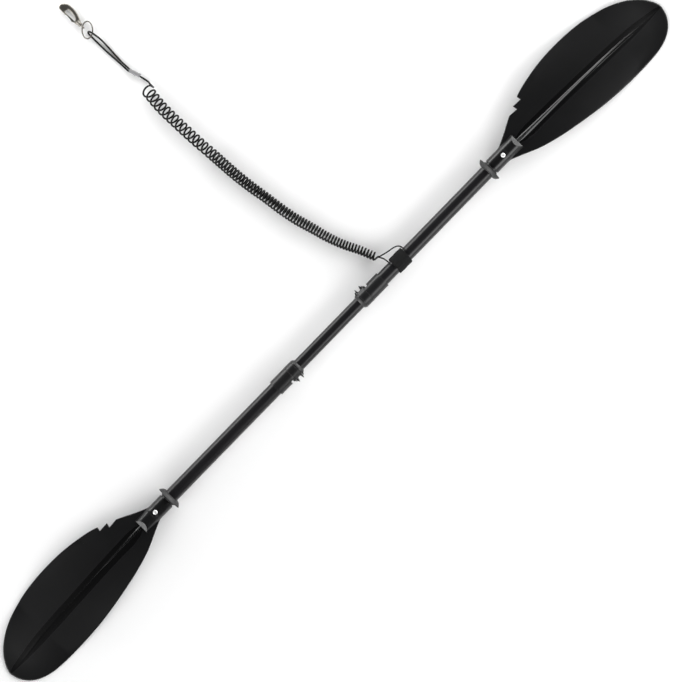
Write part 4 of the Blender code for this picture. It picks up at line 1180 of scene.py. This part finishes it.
def add_cuff(looks):
    """Strap wound round the shaft: a radius over (x, angle) with an overlap and a cord tunnel.

    The radius is 19.9 mm, plus 0.9 mm on the lap, which starts at 0.3 radians and ends in a step
    at 118 degrees, plus a swelling over the tunnel, centred on 25 degrees on the leash's side. The
    edges lean with the angle, as a strap wound by hand does. The UV map is in millimetres.
    """
    low, high = CUFF
    wide = high - low
    sides = 160
    angle = circle_angles(sides)
    lap = CUFF_LAP / (1 + np.exp(-(math.radians(118) - angle) / 0.02))
    lap = lap / (1 + np.exp(-(angle - 0.3) / 0.05))
    from_tunnel = np.angle(np.exp(1j * (angle - math.radians(25))))
    outer = CUFF_R + lap + CUFF_SWELL * np.exp(-(from_tunnel / 0.45)**2)
    tilt = 0.0011 * np.cos(angle - 0.6) + 0.0004 * np.sin(3 * angle + 1.0)
    rows = []
    for s in np.linspace(0, 1, 26):
        edge = min(s, 1 - s) * wide
        draw = 0.0007 * (1 - math.sqrt(max(0.0, 1 - (1 - min(edge / 0.0012, 1))**2)))
        sag = 0.00025 * np.sin(2 * TURN * s + angle)
        rows.append((low + 0.0012 + s * (wide - 0.0024) + tilt, outer - draw + sag))
    bore = np.full(sides, SHAFT_R + GAP)
    rows = [(rows[0][0] + 0.0001, bore), *rows, (rows[-1][0] - 0.0001, bore)]
    points = np.stack([np.stack([x, r * np.cos(angle), AXIS_Z + r * np.sin(angle)], -1)
                       for x, r in rows])
    count = len(rows)
    down = np.arange(count)[:, None, None] + np.array([0, 1, 1, 0])
    around = np.arange(sides)[None, :, None] + np.array([0, 0, 1, 1])
    uv = np.stack(np.broadcast_arrays(down * wide * 1000 / count, around * TURN * 20 / sides), -1)
    add_piece("leash_cuff_look", points.reshape(-1, 3), grid_faces(count, sides, wrap_rows=True),
              looks["strap"], "right_half", "strap_nylon", ("leash_cuff",), sharp=50,
              uv=uv.reshape(-1, 2))


def finish_hidden(looks):
    """Give the frame's own inner parts, which stay as they are, their finishes."""
    finishes = {
        "guide_plug": "plug", "shaft_bung": "foam", "brake_shoe": "rubber", "lever_pin": "pin",
        "gate_pin": "steel", "gate_spring": "pin",
    }
    for name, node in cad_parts.items():
        for ending, look in finishes.items():
            if name.endswith(ending):
                node.data.materials.clear()
                node.data.materials.append(looks[look])


# ------------------------------------------------------------------ main

add_camera()
add_room()
LOOKS = {
    "cord": skin("coil_vinyl", (0.0015, 0.0015, 0.0015), (0.40, 0.50), grain=900, depth=0.00003,
                 specular=0.2),
    "crimp": skin("crimp_sleeve", (0.21, 0.21, 0.215), (0.35, 0.5), depth=0.00005),
    "steel": skin("nickel_plate", (0.20, 0.19, 0.17), (0.18, 0.32), metallic=0.9, depth=0.00003),
    "pin": skin("pin_steel", (0.45, 0.45, 0.46), (0.25, 0.40), metallic=1.0),
    "rivet": skin("rivet_alloy", (0.75, 0.75, 0.75), (0.2, 0.3), metallic=0.4, depth=0.00002),
    # The blade's flutes get painted shade, colour times 0.4, and polish, roughness times 0.6
    "blade": skin("blade_polypropylene", (0.0028, 0.0028, 0.0031), (0.26, 0.34), flute_shade_and_polish=(0.4, 0.6)),
    "shaft": skin("shaft_coat", (0.0050, 0.0048, 0.0056), (0.28, 0.36), specular=0.45, depth=0.00002),
    "collar": skin("collar_nylon", (0.0045, 0.0045, 0.0049), (0.30, 0.40)),
    "lever": skin("lever_nylon", (0.0045, 0.0045, 0.0049), (0.30, 0.40)),
    "plug": skin("plug_nylon", (0.03, 0.03, 0.03), (0.5, 0.6)),
    "foam": skin("bung_cell_foam", (0.10, 0.10, 0.10), (0.85, 0.98), grain=2500, depth=0.0003),
    "rubber": skin("drip_rubber", (0.0070, 0.0070, 0.0075), (0.45, 0.58), depth=0.00004),
    "strap": webbing("strap_webbing", (0.0028, 0.0028, 0.0030), 3.1),
}
add_leash(LOOKS)
add_hook(LOOKS)
for WORD, SIDE in (("right", 1), ("left", -1)):
    add_blade(WORD, SIDE, LOOKS)
    add_collar(WORD, SIDE < 0, LOOKS)
    add_lever(WORD, SIDE < 0, LOOKS)
    add_drip_ring(WORD, SIDE, LOOKS)
    add_rivets(WORD, SIDE, LOOKS)
add_tubes(LOOKS)
add_cuff(LOOKS)
finish_hidden(LOOKS)
